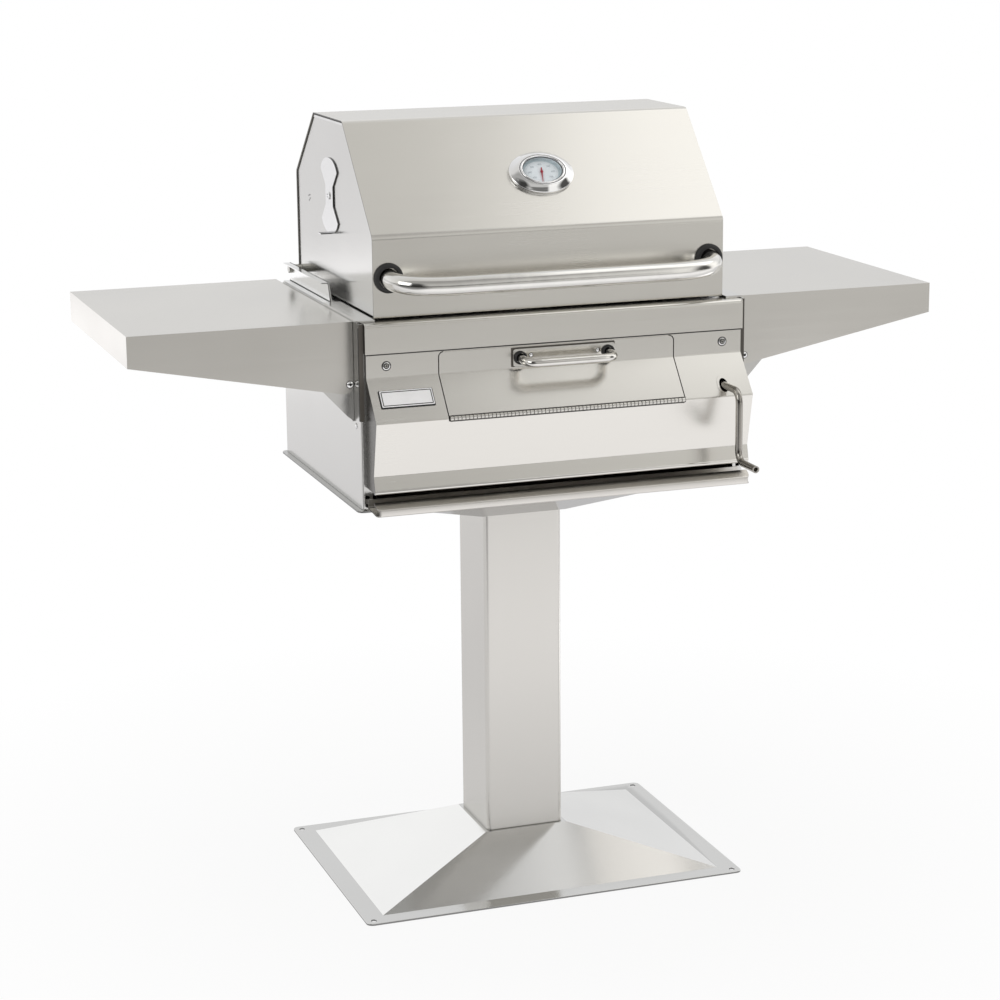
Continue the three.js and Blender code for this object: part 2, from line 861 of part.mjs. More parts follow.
function doorHandleBar(radius) {
  return footedHandle({
    radius,
    foot: doorHandleFoot,
    out: panelFace - doorHandleReach,
    half: doorHandleSpan / 2,
    high: handlePlateMiddle,
    droop: doorHandleSag,
    bendRadius: doorHandleBend,
    sides: barSides,
  }).translate(doorHandlePlace, 0, 0);
}

function doorHandle() {
  return doorHandleBar(doorHandleRadius);
}

function doorGrommet(side) {
  const ring = grommetRing(doorGrommetRadius, doorGrommetThickness, doorHandleFoot,
    doorHandlePlace + side * doorHandleSpan / 2, handlePlateMiddle);
  return ring.subtract(doorHandleBar(doorHandleRadius + seatGap));
}

// Liners beside the tray: their flanges carry the grids, their slots guide the tray
function liner() {
  const section = bentSheet([
    [linerFace, linerBottom],
    [linerFace, gridSeat],
    [plateHalf, gridSeat],
  ], sheet, -1);
  const front = innerFrontFace + sheet + seatGap;
  const back = innerBackFace - sheet - seatGap;
  const body = alongY(section, front, back);
  const play = trayPinRadius + traySlotPlay;
  const slots = [-trayPinPlace, trayPinPlace].map((place) => uprightSlot(place, play));
  const studs = camStudPlaces.map((place) => roundX(
    camStudRadius, linerFace + sheet / 2, camOuter + pinEnd, place, camStudHeight));
  return joined([cut(body, slots), ...studs]);
}

function uprightSlot(place, play) {
  const [x0, x1] = [linerFace - overrun, linerFace + sheet + overrun];
  const shape = new THREE.Shape();
  shape.moveTo(place + play, trayPinHeight);
  shape.lineTo(place + play, trayPinHeight + liftTravel);
  shape.absarc(place, trayPinHeight + liftTravel, play, 0, Math.PI);
  shape.absarc(place, trayPinHeight, play, Math.PI, Math.PI * 2);
  return alongX(shape, x0, x1);
}

function rearLedge() {
  const back = innerBackFace - sheet - seatGap;
  const section = bentSheet([
    [back - gridLedge, gridSeat],
    [back, gridSeat],
    [back, gridSeat - gridLedge],
  ], sheet, -1);
  return alongX(section, -linerFace + seatGap, linerFace - seatGap);
}

// Cooking grids: bars from front to back on two cross bars and a bar at each side
function cookingGrid() {
  const [inner, outer] = [gridMiddleGap / 2 + gridFrameRadius, gridHalfWidth - gridFrameRadius];
  const height = gridSeat + seatGap + gridFrameRadius;
  const end = gridHalfDepth - gridFrameRadius;
  const bars = [-end, end].map((place) => roundX(
    gridFrameRadius, inner - gridFrameRadius, outer + gridFrameRadius, place, height, rodSides));
  for (const place of [inner, outer]) {
    bars.push(roundY(gridFrameRadius, place, -end, end, height, rodSides));
  }
  const gaps = Math.round((outer - inner) / gridRodPitch);
  const pitch = (outer - inner) / gaps;
  for (let i = 1; i < gaps; i += 1) {
    bars.push(roundY(gridRodRadius, inner + i * pitch, -end, end, height, gridRodSides));
  }
  return joined(bars);
}

// Charcoal tray: an open pan with air slots and four pins
function charcoalTray() {
  const top = trayFloor + trayDepth;
  const outer = block(-trayHalfWidth, trayHalfWidth, -trayHalfDepth, trayHalfDepth, trayFloor, top);
  const inner = block(-trayHalfWidth + trayWall, trayHalfWidth - trayWall,
    -trayHalfDepth + trayWall, trayHalfDepth - trayWall, trayFloor + trayWall, top + overrun);
  const slots = [];
  const columns = Math.floor((2 * trayHalfWidth - traySlotPitch) / traySlotPitch);
  const rowPitch = 2 * trayHalfDepth / traySlotRows;
  for (let row = 0; row < traySlotRows; row += 1) {
    const y = -trayHalfDepth + (row + 1 / 2) * rowPitch;
    for (let column = 0; column < columns; column += 1) {
      const x = (column - (columns - 1) / 2) * traySlotPitch;
      slots.push(block(x - traySlotWidth / 2, x + traySlotWidth / 2, y - rowPitch / 2 + traySlotMargin,
        y + rowPitch / 2 - traySlotMargin, trayFloor - overrun, trayFloor + trayWall + overrun));
    }
  }
  const pins = [];
  for (const place of [-trayPinPlace, trayPinPlace]) {
    pins.push(roundX(trayPinRadius, trayHalfWidth - trayWall / 2, camOuter + pinEnd, place, trayPinHeight));
    pins.push(roundX(trayPinRadius, -camOuter - pinEnd, -trayHalfWidth + trayWall / 2, place, trayPinHeight));
  }
  return joined([cut(outer, [inner, ...slots]), ...pins]);
}

// A slot of the given half width between two points of the YZ plane
function slotBetween(y0, z0, y1, z1, half) {
  const angle = Math.atan2(z1 - z0, y1 - y0);
  const shape = new THREE.Shape();
  shape.absarc(y0, z0, half, angle + Math.PI / 2, angle + Math.PI * 3 / 2);
  shape.absarc(y1, z1, half, angle - Math.PI / 2, angle + Math.PI / 2);
  return alongX(shape, camInner - overrun, camOuter + overrun);
}

// Cam plate: a bar on two studs, with a web round each inclined slot and a lug for the nut
function camPlate(withLug) {
  const play = trayPinRadius + traySlotPlay;
  const low = trayPinHeight;
  const high = trayPinHeight + liftTravel;
  const front = -trayPinPlace - camMargin;
  const back = trayPinPlace + liftTravel + camMargin;
  const bodies = [block(camInner, camOuter, front, back, camBarBottom, camBarTop)];
  const tools = [];
  for (const place of [-trayPinPlace, trayPinPlace]) {
    const web = outline([
      [place - camMargin, camBarTop - camMargin],
      [place - camMargin, low + camMargin / 2],
      [place + liftTravel - camMargin, high + camMargin],
      [place + liftTravel + camMargin, high + camMargin],
      [place + liftTravel + camMargin, camBarTop - camMargin],
    ]);
    bodies.push(alongX(web, camInner, camOuter));
    tools.push(slotBetween(place, low, place + liftTravel, high, play));
    tools.push(roundX(camHoleRadius, camInner - overrun, camOuter + overrun,
      place + liftTravel - camHoleRadius / 2, low + camMargin / 2));
  }
  for (const place of camStudPlaces) {
    tools.push(slotBetween(place, camStudHeight, place + liftTravel, camStudHeight, camStudRadius + traySlotPlay));
  }
  if (withLug) {
    bodies.push(block(camInner, camOuter, nutPlace - nutLength / 2, nutPlace + nutLength / 2,
      camBarTop - camMargin, crankHeight + nutHeight / 2));
  }
  return cut(joined(bodies), tools);
}

function crossbar() {
  const half = camInner - seatGap;
  return block(-half, half, crossbarPlace - crossbarDepth / 2, crossbarPlace + crossbarDepth / 2,
    camBarBottom, camBarBottom + crossbarHeight);
}

function liftNut() {
  const body = block(camOuter + seatGap, camOuter + seatGap + nutWidth, nutPlace - nutLength / 2,
    nutPlace + nutLength / 2, crankHeight - nutHeight / 2, crankHeight + nutHeight / 2);
  const bore = roundY(screwRadius + runningGap, crankPlace, nutPlace - nutLength, nutPlace + nutLength,
    crankHeight, ringSides);
  return body.subtract(bore);
}

// Screw, bushes and crank
function liftScrew() {
  const front = boxFront - bushFlangeThickness - seatGap;
  const back = boxBack + bushFlangeThickness;
  const collarFront = innerFrontFace + bushDepth + seatGap;
  const profile = [
    [0, front + screwSocket],
    [spigotRadius + spigotGap, front + screwSocket],
    [spigotRadius + spigotGap, front],
    [screwRadius, front],
    [screwRadius, collarFront],
    [screwCollar, collarFront],
    [screwCollar, collarFront + screwCollarLength],
    [screwRadius, collarFront + screwCollarLength],
    [screwRadius, back],
    [0, back],
  ];
  return turnedAlongY(profile, crankPlace, crankHeight, ringSides);
}

function bush(face, depth) {
  const bore = screwRadius + runningGap;
  const wall = bore + bushWall;
  const flange = wall + bushFlange;
  const side = Math.sign(depth);
  const profile = [
    [bore, face],
    [flange, face],
    [flange, face + side * bushFlangeThickness],
    [wall, face + side * bushFlangeThickness],
    [wall, face + depth],
    [bore, face + depth],
    [bore, face],
  ];
  return turnedAlongY(profile, crankPlace, crankHeight, ringSides);
}

function frontBush() {
  return bush(innerFrontFace - seatGap - bushFlangeThickness, bushDepth);
}

function rearBush() {
  return bush(innerBackFace + seatGap + bushFlangeThickness, -bushDepth);
}

function crankHandle() {
  const screwFront = boxFront - bushFlangeThickness - seatGap;
  const low = crankHeight - crankThrow;
  const rod = bentBar([
    new THREE.Vector3(crankPlace, screwFront - seatGap, crankHeight),
    new THREE.Vector3(crankPlace, crankFront, crankHeight),
    new THREE.Vector3(crankPlace, crankFront, low),
    new THREE.Vector3(crankPlace, crankEnd, low),
  ], crankRadius, crankBend, crankSteps, barSides);
  const tongue = roundY(spigotRadius, crankPlace, screwFront - overrun, screwFront + screwSocket - bend,
    crankHeight, rodSides);
  const bore = roundY(crankBore, crankPlace, crankEnd - overrun, crankEnd + crankBend, low, rodSides);
  return rod.add(tongue).subtract(bore);
}

// Ash drawer: a shallow pan with a folded front that the fingers pull
function drawerPan() {
  const line = [
    [boxFront, drawerFrontWallTop],
    [boxFront, drawerFloor],
    [drawerBack, drawerFloor],
    [drawerBack, drawerWallTop],
  ];
  const section = bentSheet(line, sheet);
  const half = drawerHalfWidth;
  const side = outline([
    ...roundedLine(line, bend),
    [boxFront + sheet + drawerWallTop - drawerFrontWallTop, drawerWallTop],
    [boxFront + sheet, drawerFrontWallTop],
  ]);
  return joined([
    alongX(section, -half, half),
    alongX(side, -half, -half + sheet),
    alongX(side, half - sheet, half),
  ]);
}

function drawerFront() {
  const backFace = boxFront - seatGap;
  const section = bentSheet([
    [backFace, drawerFrontWallTop],
    [backFace, drawerFloor],
    [drawerLipFace, boxBottom - drawerLipDip],
    [drawerLipFace, boxBottom + drawerLipRise],
    [boxFront - drawerCrestProud, boxBottom + drawerCrestRise],
  ], sheet, -1);
  const plan = new THREE.Shape();
  const front = drawerLipFace - skim;
  plan.moveTo(-panelHalf, boxFront + overrun);
  plan.lineTo(-panelHalf, front + drawerFrontCorner);
  plan.absarc(-panelHalf + drawerFrontCorner, front + drawerFrontCorner, drawerFrontCorner, Math.PI, Math.PI * 3 / 2);
  plan.absarc(panelHalf - drawerFrontCorner, front + drawerFrontCorner, drawerFrontCorner, -Math.PI / 2, 0);
  plan.lineTo(panelHalf, boxFront + overrun);
  const limits = alongZ(plan, boxBottom - overrun, boxBottom + drawerCrestRise + overrun);
  return alongX(section, -panelHalf, panelHalf).intersect(limits);
}

// Hood
const hoodLine = [
  [hoodFront + hoodHem, hoodBottom],
  [hoodFront, hoodBottom],
  [hoodFront, hoodMidFront],
  [hoodFront + hoodSlopeRun, hoodTop],
  [boxBack - hoodBackRun, hoodTop],
  [boxBack, boxTop + hoodBackRise],
  [boxBack, boxTop + hoodBackGap],
];

// The hood's slope as a frame: its foot, the way up it and the way out of it
const slopeFoot = new THREE.Vector3(0, hoodFront, hoodMidFront);
const slopeSpan = new THREE.Vector3(0, hoodSlopeRun, hoodTop - hoodMidFront);
const slopeUp = slopeSpan.clone().normalize();
const slopeOut = new THREE.Vector3(0, -slopeUp.z, slopeUp.y);
const dialMiddle = slopeFoot.clone().addScaledVector(slopeSpan, dialPlaceShare)
  .setX(boxWidth * dialShiftShare);
const onDial = new THREE.Matrix4().makeBasis(new THREE.Vector3(1, 0, 0), slopeUp, slopeOut)
  .setPosition(dialMiddle);

// A solid turned about the dial's axis, drawn out sideways into an oval
function ovalOnDial(profile) {
  const geometry = turned(profile, bezelSides).rotateX(Math.PI / 2).scale(1, dialOvalShare, 1);
  return solid(geometry.applyMatrix4(onDial));
}

function roundOnDial(radius, from, to, sides = tubeSides) {
  const bar = new THREE.CylinderGeometry(radius, radius, to - from, sides);
  return solid(bar.rotateX(Math.PI / 2).translate(0, 0, (from + to) / 2).applyMatrix4(onDial));
}

function hoodWrapper() {
  const skin = alongX(bentSheet(hoodLine, sheet, -1), -hoodSide, hoodSide);
  return skin.subtract(roundOnDial(stemRadius + seatGap, -overrun, overrun));
}

function hoodPanel() {
  const edge = offsetLine(hoodLine.slice(1), -(sheet + seatGap)).map(([y, z]) => [y, z]);
  edge[0][1] = hoodBottom + bend;
  edge[edge.length - 1][1] = hoodBottom + bend;
  const wall = alongX(outline(edge), hoodPanelFace - sheet, hoodPanelFace);
  const [x0, x1] = [hoodPanelFace - overrun, hoodPanelFace + overrun];
  return cut(wall, [
    roundX(ventRadius, x0, x1, damperPlace, damperHeight + ventPlace, ringSides),
    roundX(ventRadius, x0, x1, damperPlace, damperHeight - ventPlace, ringSides),
    roundX(pivotRadius + hingeHoleGap, x0, x1, damperPlace, damperHeight),
    roundX(hingeBoltRadius + hingeHoleGap, x0, x1, hingePlace, hingeHeight),
  ]);
}

function hoodHandleBar(radius) {
  return footedHandle({
    radius,
    foot: hoodFront - seatGap,
    out: hoodFront - hoodHandleReach,
    half: hoodHandleHalf,
    high: hoodHandleHeight,
    droop: hoodHandleSag,
    bendRadius: hoodHandleBend,
    sides: tubeSides,
  });
}

function hoodHandle() {
  return hoodHandleBar(hoodHandleRadius);
}

function hoodGrommet(side) {
  const ring = grommetRing(hoodGrommetRadius, hoodGrommetThickness, hoodFront - seatGap,
    side * hoodHandleHalf, hoodHandleHeight);
  return ring.subtract(hoodHandleBar(hoodHandleRadius + seatGap));
}

// Hood hinge: a channel bracket on the ledge and a bolt through it into the hood's side
function hingeBracket() {
  const foot = boxTop + seatGap;
  const section = outline([
    [bracketFace + bracketFlange, foot],
    [bracketFace, foot],
    [bracketFace, bracketTop],
    [bracketFace + bracketFlange, bracketTop],
    [bracketFace + bracketFlange, bracketTop - sheet],
    [bracketFace + sheet, bracketTop - sheet],
    [bracketFace + sheet, foot + sheet],
    [bracketFace + bracketFlange, foot + sheet],
  ]);
  const channel = alongY(section, bracketFoot, boxBack);
  const trimmed = alongX(outline([
    [bracketFoot - overrun, foot + overrun / 2],
    [bracketFoot, foot + overrun / 2],
    [bracketFront, bracketTop + skim],
    [bracketFoot - overrun, bracketTop + skim],
  ]), bracketFace - overrun, bracketFace + bracketFlange + overrun);
  const hole = roundX(hingeBoltRadius + hingeHoleGap, bracketFace - overrun, bracketFace + overrun,
    hingePlace, hingeHeight);
  return cut(channel, [trimmed, hole]);
}

function hingeBolt() {
  const headFoot = bracketFace + sheet + seatGap;
  const nutFace = hoodPanelFace - sheet - seatGap;
  const sleeveTo = bracketFace - seatGap;
  const sleeveFrom = hoodPanelFace + seatGap;
  const profile = [
    [0, nutFace - hingeHeadThickness],
    [hingeHead, nutFace - hingeHeadThickness],
    [hingeHead, nutFace],
    [hingeBoltRadius, nutFace],
    [hingeBoltRadius, sleeveFrom],
    [hingeSleeve, sleeveFrom],
    [hingeSleeve, sleeveTo],
    [hingeBoltRadius, sleeveTo],
    [hingeBoltRadius, headFoot],
    [hingeHead, headFoot],
    [hingeHead, headFoot + hingeHeadThickness],
    [0, headFoot + hingeHeadThickness],
  ];
  return turnedAlongX(profile, hingePlace, hingeHeight, tubeSides);
}

// Side damper: a plate with two lobes that covers a hole above and a hole below its rivet
function damper() {
  const shape = new THREE.Shape();
  const [w, h] = [waistHalfWidth, waistHalfHeight];
  shape.moveTo(w, -h);
  shape.lineTo(w, h);
  shape.lineTo(lobeHalfWidth, lobeHeight);
  shape.quadraticCurveTo(lobeHalfWidth / 2 + w / 2, damperHalfHeight, 0, damperHalfHeight);
  shape.quadraticCurveTo(-lobeHalfWidth / 2 - w / 2, damperHalfHeight, -lobeHalfWidth, lobeHeight);
  shape.lineTo(-w, h);
  shape.lineTo(-w, -h);
  shape.lineTo(-lobeHalfWidth, -lobeHeight);
  shape.quadraticCurveTo(-lobeHalfWidth / 2 - w / 2, -damperHalfHeight, 0, -damperHalfHeight);
  shape.quadraticCurveTo(lobeHalfWidth / 2 + w / 2, -damperHalfHeight, lobeHalfWidth, -lobeHeight);
  const face = hoodPanelFace + damperClear;
  const plate = alongX(shape, face, face + sheet, curveSteps).translate(0, damperPlace, damperHeight);
  const low = damperHeight - damperHalfHeight;
  const tab = block(face, face + damperTabReach, damperPlace - damperTabWidth / 2,
    damperPlace + damperTabWidth / 2, low, low + sheet);
  const hole = roundX(pivotRadius + hingeHoleGap, face - overrun, face + overrun, damperPlace, damperHeight);
  return plate.add(tab).subtract(hole);
}

function damperPivot() {
  const inside = hoodPanelFace - sheet - seatGap;
  const outside = hoodPanelFace + damperClear + sheet + seatGap;
  const profile = [
    [0, inside - pivotHeadThickness],
    [pivotHead, inside - pivotHeadThickness],
    [pivotHead, inside],
    [pivotRadius, inside],
    [pivotRadius, outside],
    [pivotHead, outside],
    [pivotHead, outside + pivotHeadThickness / 2],
    [pivotRadius, outside + pivotHeadThickness],
    [0, outside + pivotHeadThickness],
  ];
  return turnedAlongX(profile, damperPlace, damperHeight, tubeSides);
}

// Thermometer
function thermometerBezel() {
  const shoulder = (bezelRadius + bezelSeat) / 2;
  return ovalOnDial([
    [bezelSeat, seatGap],
    [bezelRadius, seatGap],
    [bezelRadius, bezelFoot],
    [bezelRadius - bezelFoot, bezelFoot + seatGap],
    [shoulder, bezelRise * bezelShoulderShare],
    [bezelSeat, bezelRise],
    [bezelInner, bezelRise - seatGap],
    [bezelInner, lensHeight + lensThickness + seatGap],
    [bezelSeat, lensHeight + lensThickness + seatGap],
    [bezelSeat, seatGap],
  ]);
}

function thermometerDial() {
  const radius = bezelSeat - seatGap;
  const disc = ovalOnDial([[0, seatGap], [radius, seatGap], [radius, dialThickness], [0, dialThickness]]);
  const spindle = roundOnDial(spindleRadius, dialThickness / 2, needleHeight + needleThickness * 2, rodSides);
  return disc.add(spindle);
}

function thermometerLens() {
  const radius = bezelSeat - seatGap;
  const top = lensHeight + lensThickness;
  return ovalOnDial([[0, lensHeight], [radius, lensHeight], [radius, top], [0, top]]);
}

function thermometerNeedle() {
  const shape = outline([
    [needleHalfWidth / 4, -needleLength],
    [needleHalfWidth, 0],
    [needleHalfWidth / 2, needleTail],
    [-needleHalfWidth / 2, needleTail],
    [-needleHalfWidth, 0],
    [-needleHalfWidth / 4, -needleLength],
  ]);
  const pointer = solid(extruded(shape, needleThickness).translate(0, 0, needleHeight).applyMatrix4(onDial));
  const hub = roundOnDial(needleHub, needleHeight - needleThickness / 2, needleHeight + needleThickness);
  const bore = roundOnDial(spindleRadius + seatGap, needleHeight - overrun, needleHeight + overrun, rodSides);
  return pointer.add(hub).subtract(bore);
}

function thermometerStem() {
  const probe = roundOnDial(stemRadius, -stemLength, 0, rodSides);
  const nut = roundOnDial(stemNut, -sheet - seatGap - stemNutThickness, -sheet - seatGap, rodSides - 2);
  return probe.add(nut);
}

// Side shelf: a folded top with tapered aprons front and back, open below
function shelf() {
  const [inner, outer] = [shelfInner, shelfReach];
  const apron = new THREE.Shape();
  const low = shelfTop - shelfInnerDepth;
  apron.moveTo(inner, shelfTop);
  apron.lineTo(outer, shelfTop);
  apron.lineTo(outer, shelfTop - shelfOuterDepth);
  apron.lineTo(inner + shelfShoulder, low);
  apron.quadraticCurveTo(inner, low, inner, low + shelfShoulder);
  const front = alongY(apron, shelfFront, shelfFront + sheet, curveSteps);
  const back = alongY(apron, shelfBack - sheet, shelfBack, curveSteps);
  const top = block(inner, outer, shelfFront, shelfBack, shelfTop - sheet, shelfTop);
  const end = block(outer - sheet, outer, shelfFront, shelfBack, shelfTop - shelfOuterDepth, shelfTop);
  const flange = block(inner, inner + sheet, shelfFront, shelfBack, shelfTop - shelfFlangeDepth, shelfTop);
  return joined([front, back, top, end, flange]);
}

// Gusset under a shelf: one leg along the firebox, one leg across behind the apron
function gusset(place, direction) {
  const inner = shelfInner + sheet + gussetShelfGap;
  const wallFace = boxSide + seatGap;
  const low = shelfTop - shelfFlangeDepth - gussetShelfGap;
  const [top, foot] = [shelfTop - gussetDrop, shelfTop - gussetDepth];
  const across = alongY(outline([
    [inner, top],
    [inner + gussetReach, top],
    [inner + gussetReach, shelfTop - gussetKneeDrop],
    [inner + gussetToe, foot + gussetToe],
    [wallFace, foot],
    [wallFace, low],
    [inner, low],
  ]), Math.min(place, place + direction * gussetSheet), Math.max(place, place + direction * gussetSheet));
  const reach = place + direction * gussetLeg;
  const leg = block(wallFace, wallFace + gussetSheet, Math.min(place, reach), Math.max(place, reach),
    foot, low);
  return across.add(leg);
}

function frontGusset() {
  return gusset(shelfFront + sheet + gussetShelfGap, 1);
}

function rearGusset() {
  return gusset(boxBack - gussetBackInset, -1);
}

// Assembly: one mesh for each piece, gathered by what moves together
const finishes = new Map();

function piece(name, body, finish) {
  if (!finishes.has(finish)) {
    finishes.set(finish, new THREE.MeshStandardMaterial({ ...finish, flatShading: true }));
  }
  const mesh = new THREE.Mesh(geometryOf(body), finishes.get(finish).clone());
  mesh.name = name;
  return mesh;
}

function pair(name, body, finish) {
  return [piece(`${name}_right`, body, finish), piece(`${name}_left`, mirrored(body), finish)];
}

function assembly(...pieces) {
  const group = new THREE.Group();
  group.add(...pieces.flat());
  return group;
}

const pedestal = assembly(
  piece('base_plate', pyramidPlate(), brushedSteel),
  piece('post', post(), brushedSteel),
  piece('top_plate', topPlate(), brushedSteel),
);

const firebox = assembly(
  pair('firebox_side', fireboxSide(), brushedSteel),
  piece('firebox_floor', fireboxFloor(), brushedSteel),
  piece('firebox_back', fireboxBack(), brushedSteel),
  piece('firebox_front', fireboxFront(), heatSteel),
  piece('front_panel', frontPanel(), brushedSteel),
  piece('front_trim', frontTrim(), brushedSteel),
  pair('liner', liner(), heatSteel),
  piece('rear_grid_ledge', rearLedge(), heatSteel),
  pair('cooking_grid', cookingGrid(), polishedSteel),
  pair('hood_hinge_bracket', hingeBracket(), brushedSteel),
  pair('hood_hinge_bolt', hingeBolt(), polishedSteel),
  piece('crank_front_bush', frontBush(), brass),
  piece('crank_rear_bush', rearBush(), brass),
  piece('door_hinge_fixed_leaf', fixedLeaf(), polishedSteel),
  piece('door_hinge_pin', hingePin(), polishedSteel),
);

const shelves = assembly(
  pair('shelf', shelf(), brushedSteel),
  pair('shelf_front_gusset', frontGusset(), brushedSteel),
  pair('shelf_rear_gusset', rearGusset(), brushedSteel),
);

const door = assembly(
  piece('charcoal_door', charcoalDoor(), brushedSteel),
  piece('door_hinge_moving_leaf', movingLeaf(), polishedSteel),
  piece('door_handle_plate', doorHandlePlate(), polishedSteel),
  piece('door_handle', doorHandle(), polishedSteel),
  piece('door_handle_grommet_right', doorGrommet(1), blackRubber),
  piece('door_handle_grommet_left', doorGrommet(-1), blackRubber),
);

const lift = assembly(
  piece('crank_handle', crankHandle(), polishedSteel),
  piece('lift_screw', liftScrew(), polishedSteel),
  piece('lift_nut', liftNut(), brass),
  piece('cam_plate_right', camPlate(true), darkSteel),
  piece('cam_plate_left', mirrored(camPlate(false)), darkSteel),
  piece('lift_crossbar', crossbar(), darkSteel),
  piece('charcoal_tray', charcoalTray(), heatSteel),
);

const drawer = assembly(
  piece('ash_drawer_pan', drawerPan(), brushedSteel),
  piece('ash_drawer_front', drawerFront(), brushedSteel),
);

const hood = assembly(
  piece('hood_wrapper', hoodWrapper(), brushedSteel),
  pair('hood_side', hoodPanel(), brushedSteel),
  piece('hood_handle', hoodHandle(), polishedSteel),
  piece('hood_handle_grommet_right', hoodGrommet(1), blackRubber),
  piece('hood_handle_grommet_left', hoodGrommet(-1), blackRubber),
  pair('damper', damper(), brushedSteel),
  pair('damper_pivot', damperPivot(), polishedSteel),
  piece('thermometer_bezel', thermometerBezel(), chrome),
  piece('thermometer_dial', thermometerDial(), dialWhite),
  piece('thermometer_lens', thermometerLens(), clearGlass),
  piece('thermometer_needle', thermometerNeedle(), needleRed),
  piece('thermometer_stem', thermometerStem(), polishedSteel),
);

// The origin is the middle of the footprint between the crank's end and the shelves' back
const grill = new THREE.Group();
grill.add(pedestal, firebox, shelves, door, lift, drawer, hood);
grill.position.y = -(crankEnd + shelfBack) / 2;

export default grill;
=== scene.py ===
"""Looks of a stainless-steel charcoal grill on a pedestal post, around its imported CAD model.
Lengths in the constants are millimetres, with y measured from the post's axis as in the CAD source.
Those of the floor and the lights are metres."""

import json
import math

import bmesh
import bpy
from mathutils import Matrix, Vector

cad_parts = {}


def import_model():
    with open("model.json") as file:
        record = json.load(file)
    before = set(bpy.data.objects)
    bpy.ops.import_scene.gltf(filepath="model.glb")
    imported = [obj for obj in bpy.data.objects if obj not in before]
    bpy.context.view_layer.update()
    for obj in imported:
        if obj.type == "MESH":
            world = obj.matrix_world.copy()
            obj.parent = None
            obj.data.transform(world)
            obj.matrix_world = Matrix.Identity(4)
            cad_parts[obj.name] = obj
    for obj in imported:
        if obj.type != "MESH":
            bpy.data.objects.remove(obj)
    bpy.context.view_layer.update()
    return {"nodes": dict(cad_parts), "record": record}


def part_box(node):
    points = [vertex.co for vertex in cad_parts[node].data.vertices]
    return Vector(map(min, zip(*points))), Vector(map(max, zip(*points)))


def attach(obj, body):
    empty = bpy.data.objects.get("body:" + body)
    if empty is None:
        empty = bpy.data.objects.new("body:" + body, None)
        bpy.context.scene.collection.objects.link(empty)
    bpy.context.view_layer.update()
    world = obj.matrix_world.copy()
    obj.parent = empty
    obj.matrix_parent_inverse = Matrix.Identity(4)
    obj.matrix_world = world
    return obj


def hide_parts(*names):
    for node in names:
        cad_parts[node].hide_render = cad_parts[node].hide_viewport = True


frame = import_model()
post_low, post_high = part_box("post")
axis_y = (post_low.y + post_high.y) / 2
bodies = {node: body for body, nodes in frame["record"]["behaviour"]["bodies"].items() for node in nodes}


# Places and sizes in millimetres
def at(x, y, z):
    """A place in metres in the shared frame."""
    return Vector((x / 1000, y / 1000 + axis_y, z / 1000))


def corners_of(name):
    """The low and the high corner of a node's box."""
    return [(corner - Vector((0, axis_y, 0))) * 1000 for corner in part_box(name)]


def handle_size(name, radius, out, sag, bend):
    """A handle's sizes, with the places of its feet taken from its grommets."""
    low, high = corners_of(name + "_grommet_left")[0], corners_of(name + "_grommet_right")[1]
    ring = (high.z - low.z) / 2
    return {"radius": radius, "foot": high.y, "out": out, "half": (high.x - low.x) / 2 - ring,
            "high": low.z + ring, "sag": sag, "bend": bend, "middle": (low.x + high.x) / 2}


SIDES = (("right", 1), ("left", -1))
FRONT = ((1, 0, 0), (0, 0, 1))
LEFT = ((0, -1, 0), (0, 0, 1))
RIGHT = ((0, 1, 0), (0, 0, 1))
EASING = 0.4
BAR_CLEARANCE = 0.05
# The hood's section, from the lip under its front edge over its top to the foot of its back
hood_low, hood_high = corners_of("hood_wrapper")
hood_wall_low, hood_wall_high = corners_of("hood_side_right")
hood_half = hood_high.x
hood_panel = hood_wall_high.x
sheet = hood_wall_high.x - hood_wall_low.x
hood_lip = 10
front_height = 1041.5
top_front, top_back = -52, 105
back_height, back_foot = 1096, 928
hood_line = [(hood_low.y + hood_lip, hood_low.z), (hood_low.y, hood_low.z), (hood_low.y, front_height),
             (top_front, hood_high.z), (top_back, hood_high.z), (hood_high.y, back_height),
             (hood_high.y, back_foot)]
hood_handle = handle_size("hood_handle", radius=14, out=-251, sag=8, bend=(50, 90))
door_handle = handle_size("door_handle", radius=6.5, out=-257, sag=3, bend=(18, 20))
# The panel's folds: the top of its upper slope, the ridge with the hinge, and the foot of its lower slope
panel_face, panel_bend = -219, 841
ridge_face, ridge_height = -266, 784
lower_bend_face, lower_bend_height = -248, 703
# The crank's rod, from the screw's end forward, down and forward again
rod_low, rod_high = corners_of("crank_handle")
rod_radius = 5.5
crank_place = (rod_low.x + rod_high.x) / 2
crank_start, crank_front, crank_end = -216.2, -310, rod_low.y
crank_height, crank_low = rod_high.z - rod_radius, rod_low.z + rod_radius
# The oval dial on the hood's front slope
slope_foot = Vector((0, hood_low.y, front_height))
hood_slope = Vector((0, top_front, hood_high.z)) - slope_foot
dial_share = 0.464
dial_oval = 0.74
dial_middle = slope_foot + hood_slope * dial_share
dial_middle.x = sum(corner.x for corner in corners_of("thermometer_bezel")) / 2
# The hinge between door and panel
door_half = corners_of("charcoal_door")[1].x
knuckles = 63


# Meshes
def place(origin, x_axis, y_axis):
    """A matrix from millimetres on a surface to metres in the shared frame."""
    x_axis, y_axis = Vector(x_axis).normalized(), Vector(y_axis).normalized()
    z_axis = x_axis.cross(y_axis)
    turn = Matrix((x_axis, y_axis, z_axis)).transposed().to_4x4()
    return Matrix.Translation(at(*origin)) @ turn @ Matrix.Scale(0.001, 4)


def linked(name, data):
    made = bpy.data.objects.new(name, data)
    bpy.context.scene.collection.objects.link(made)
    return made


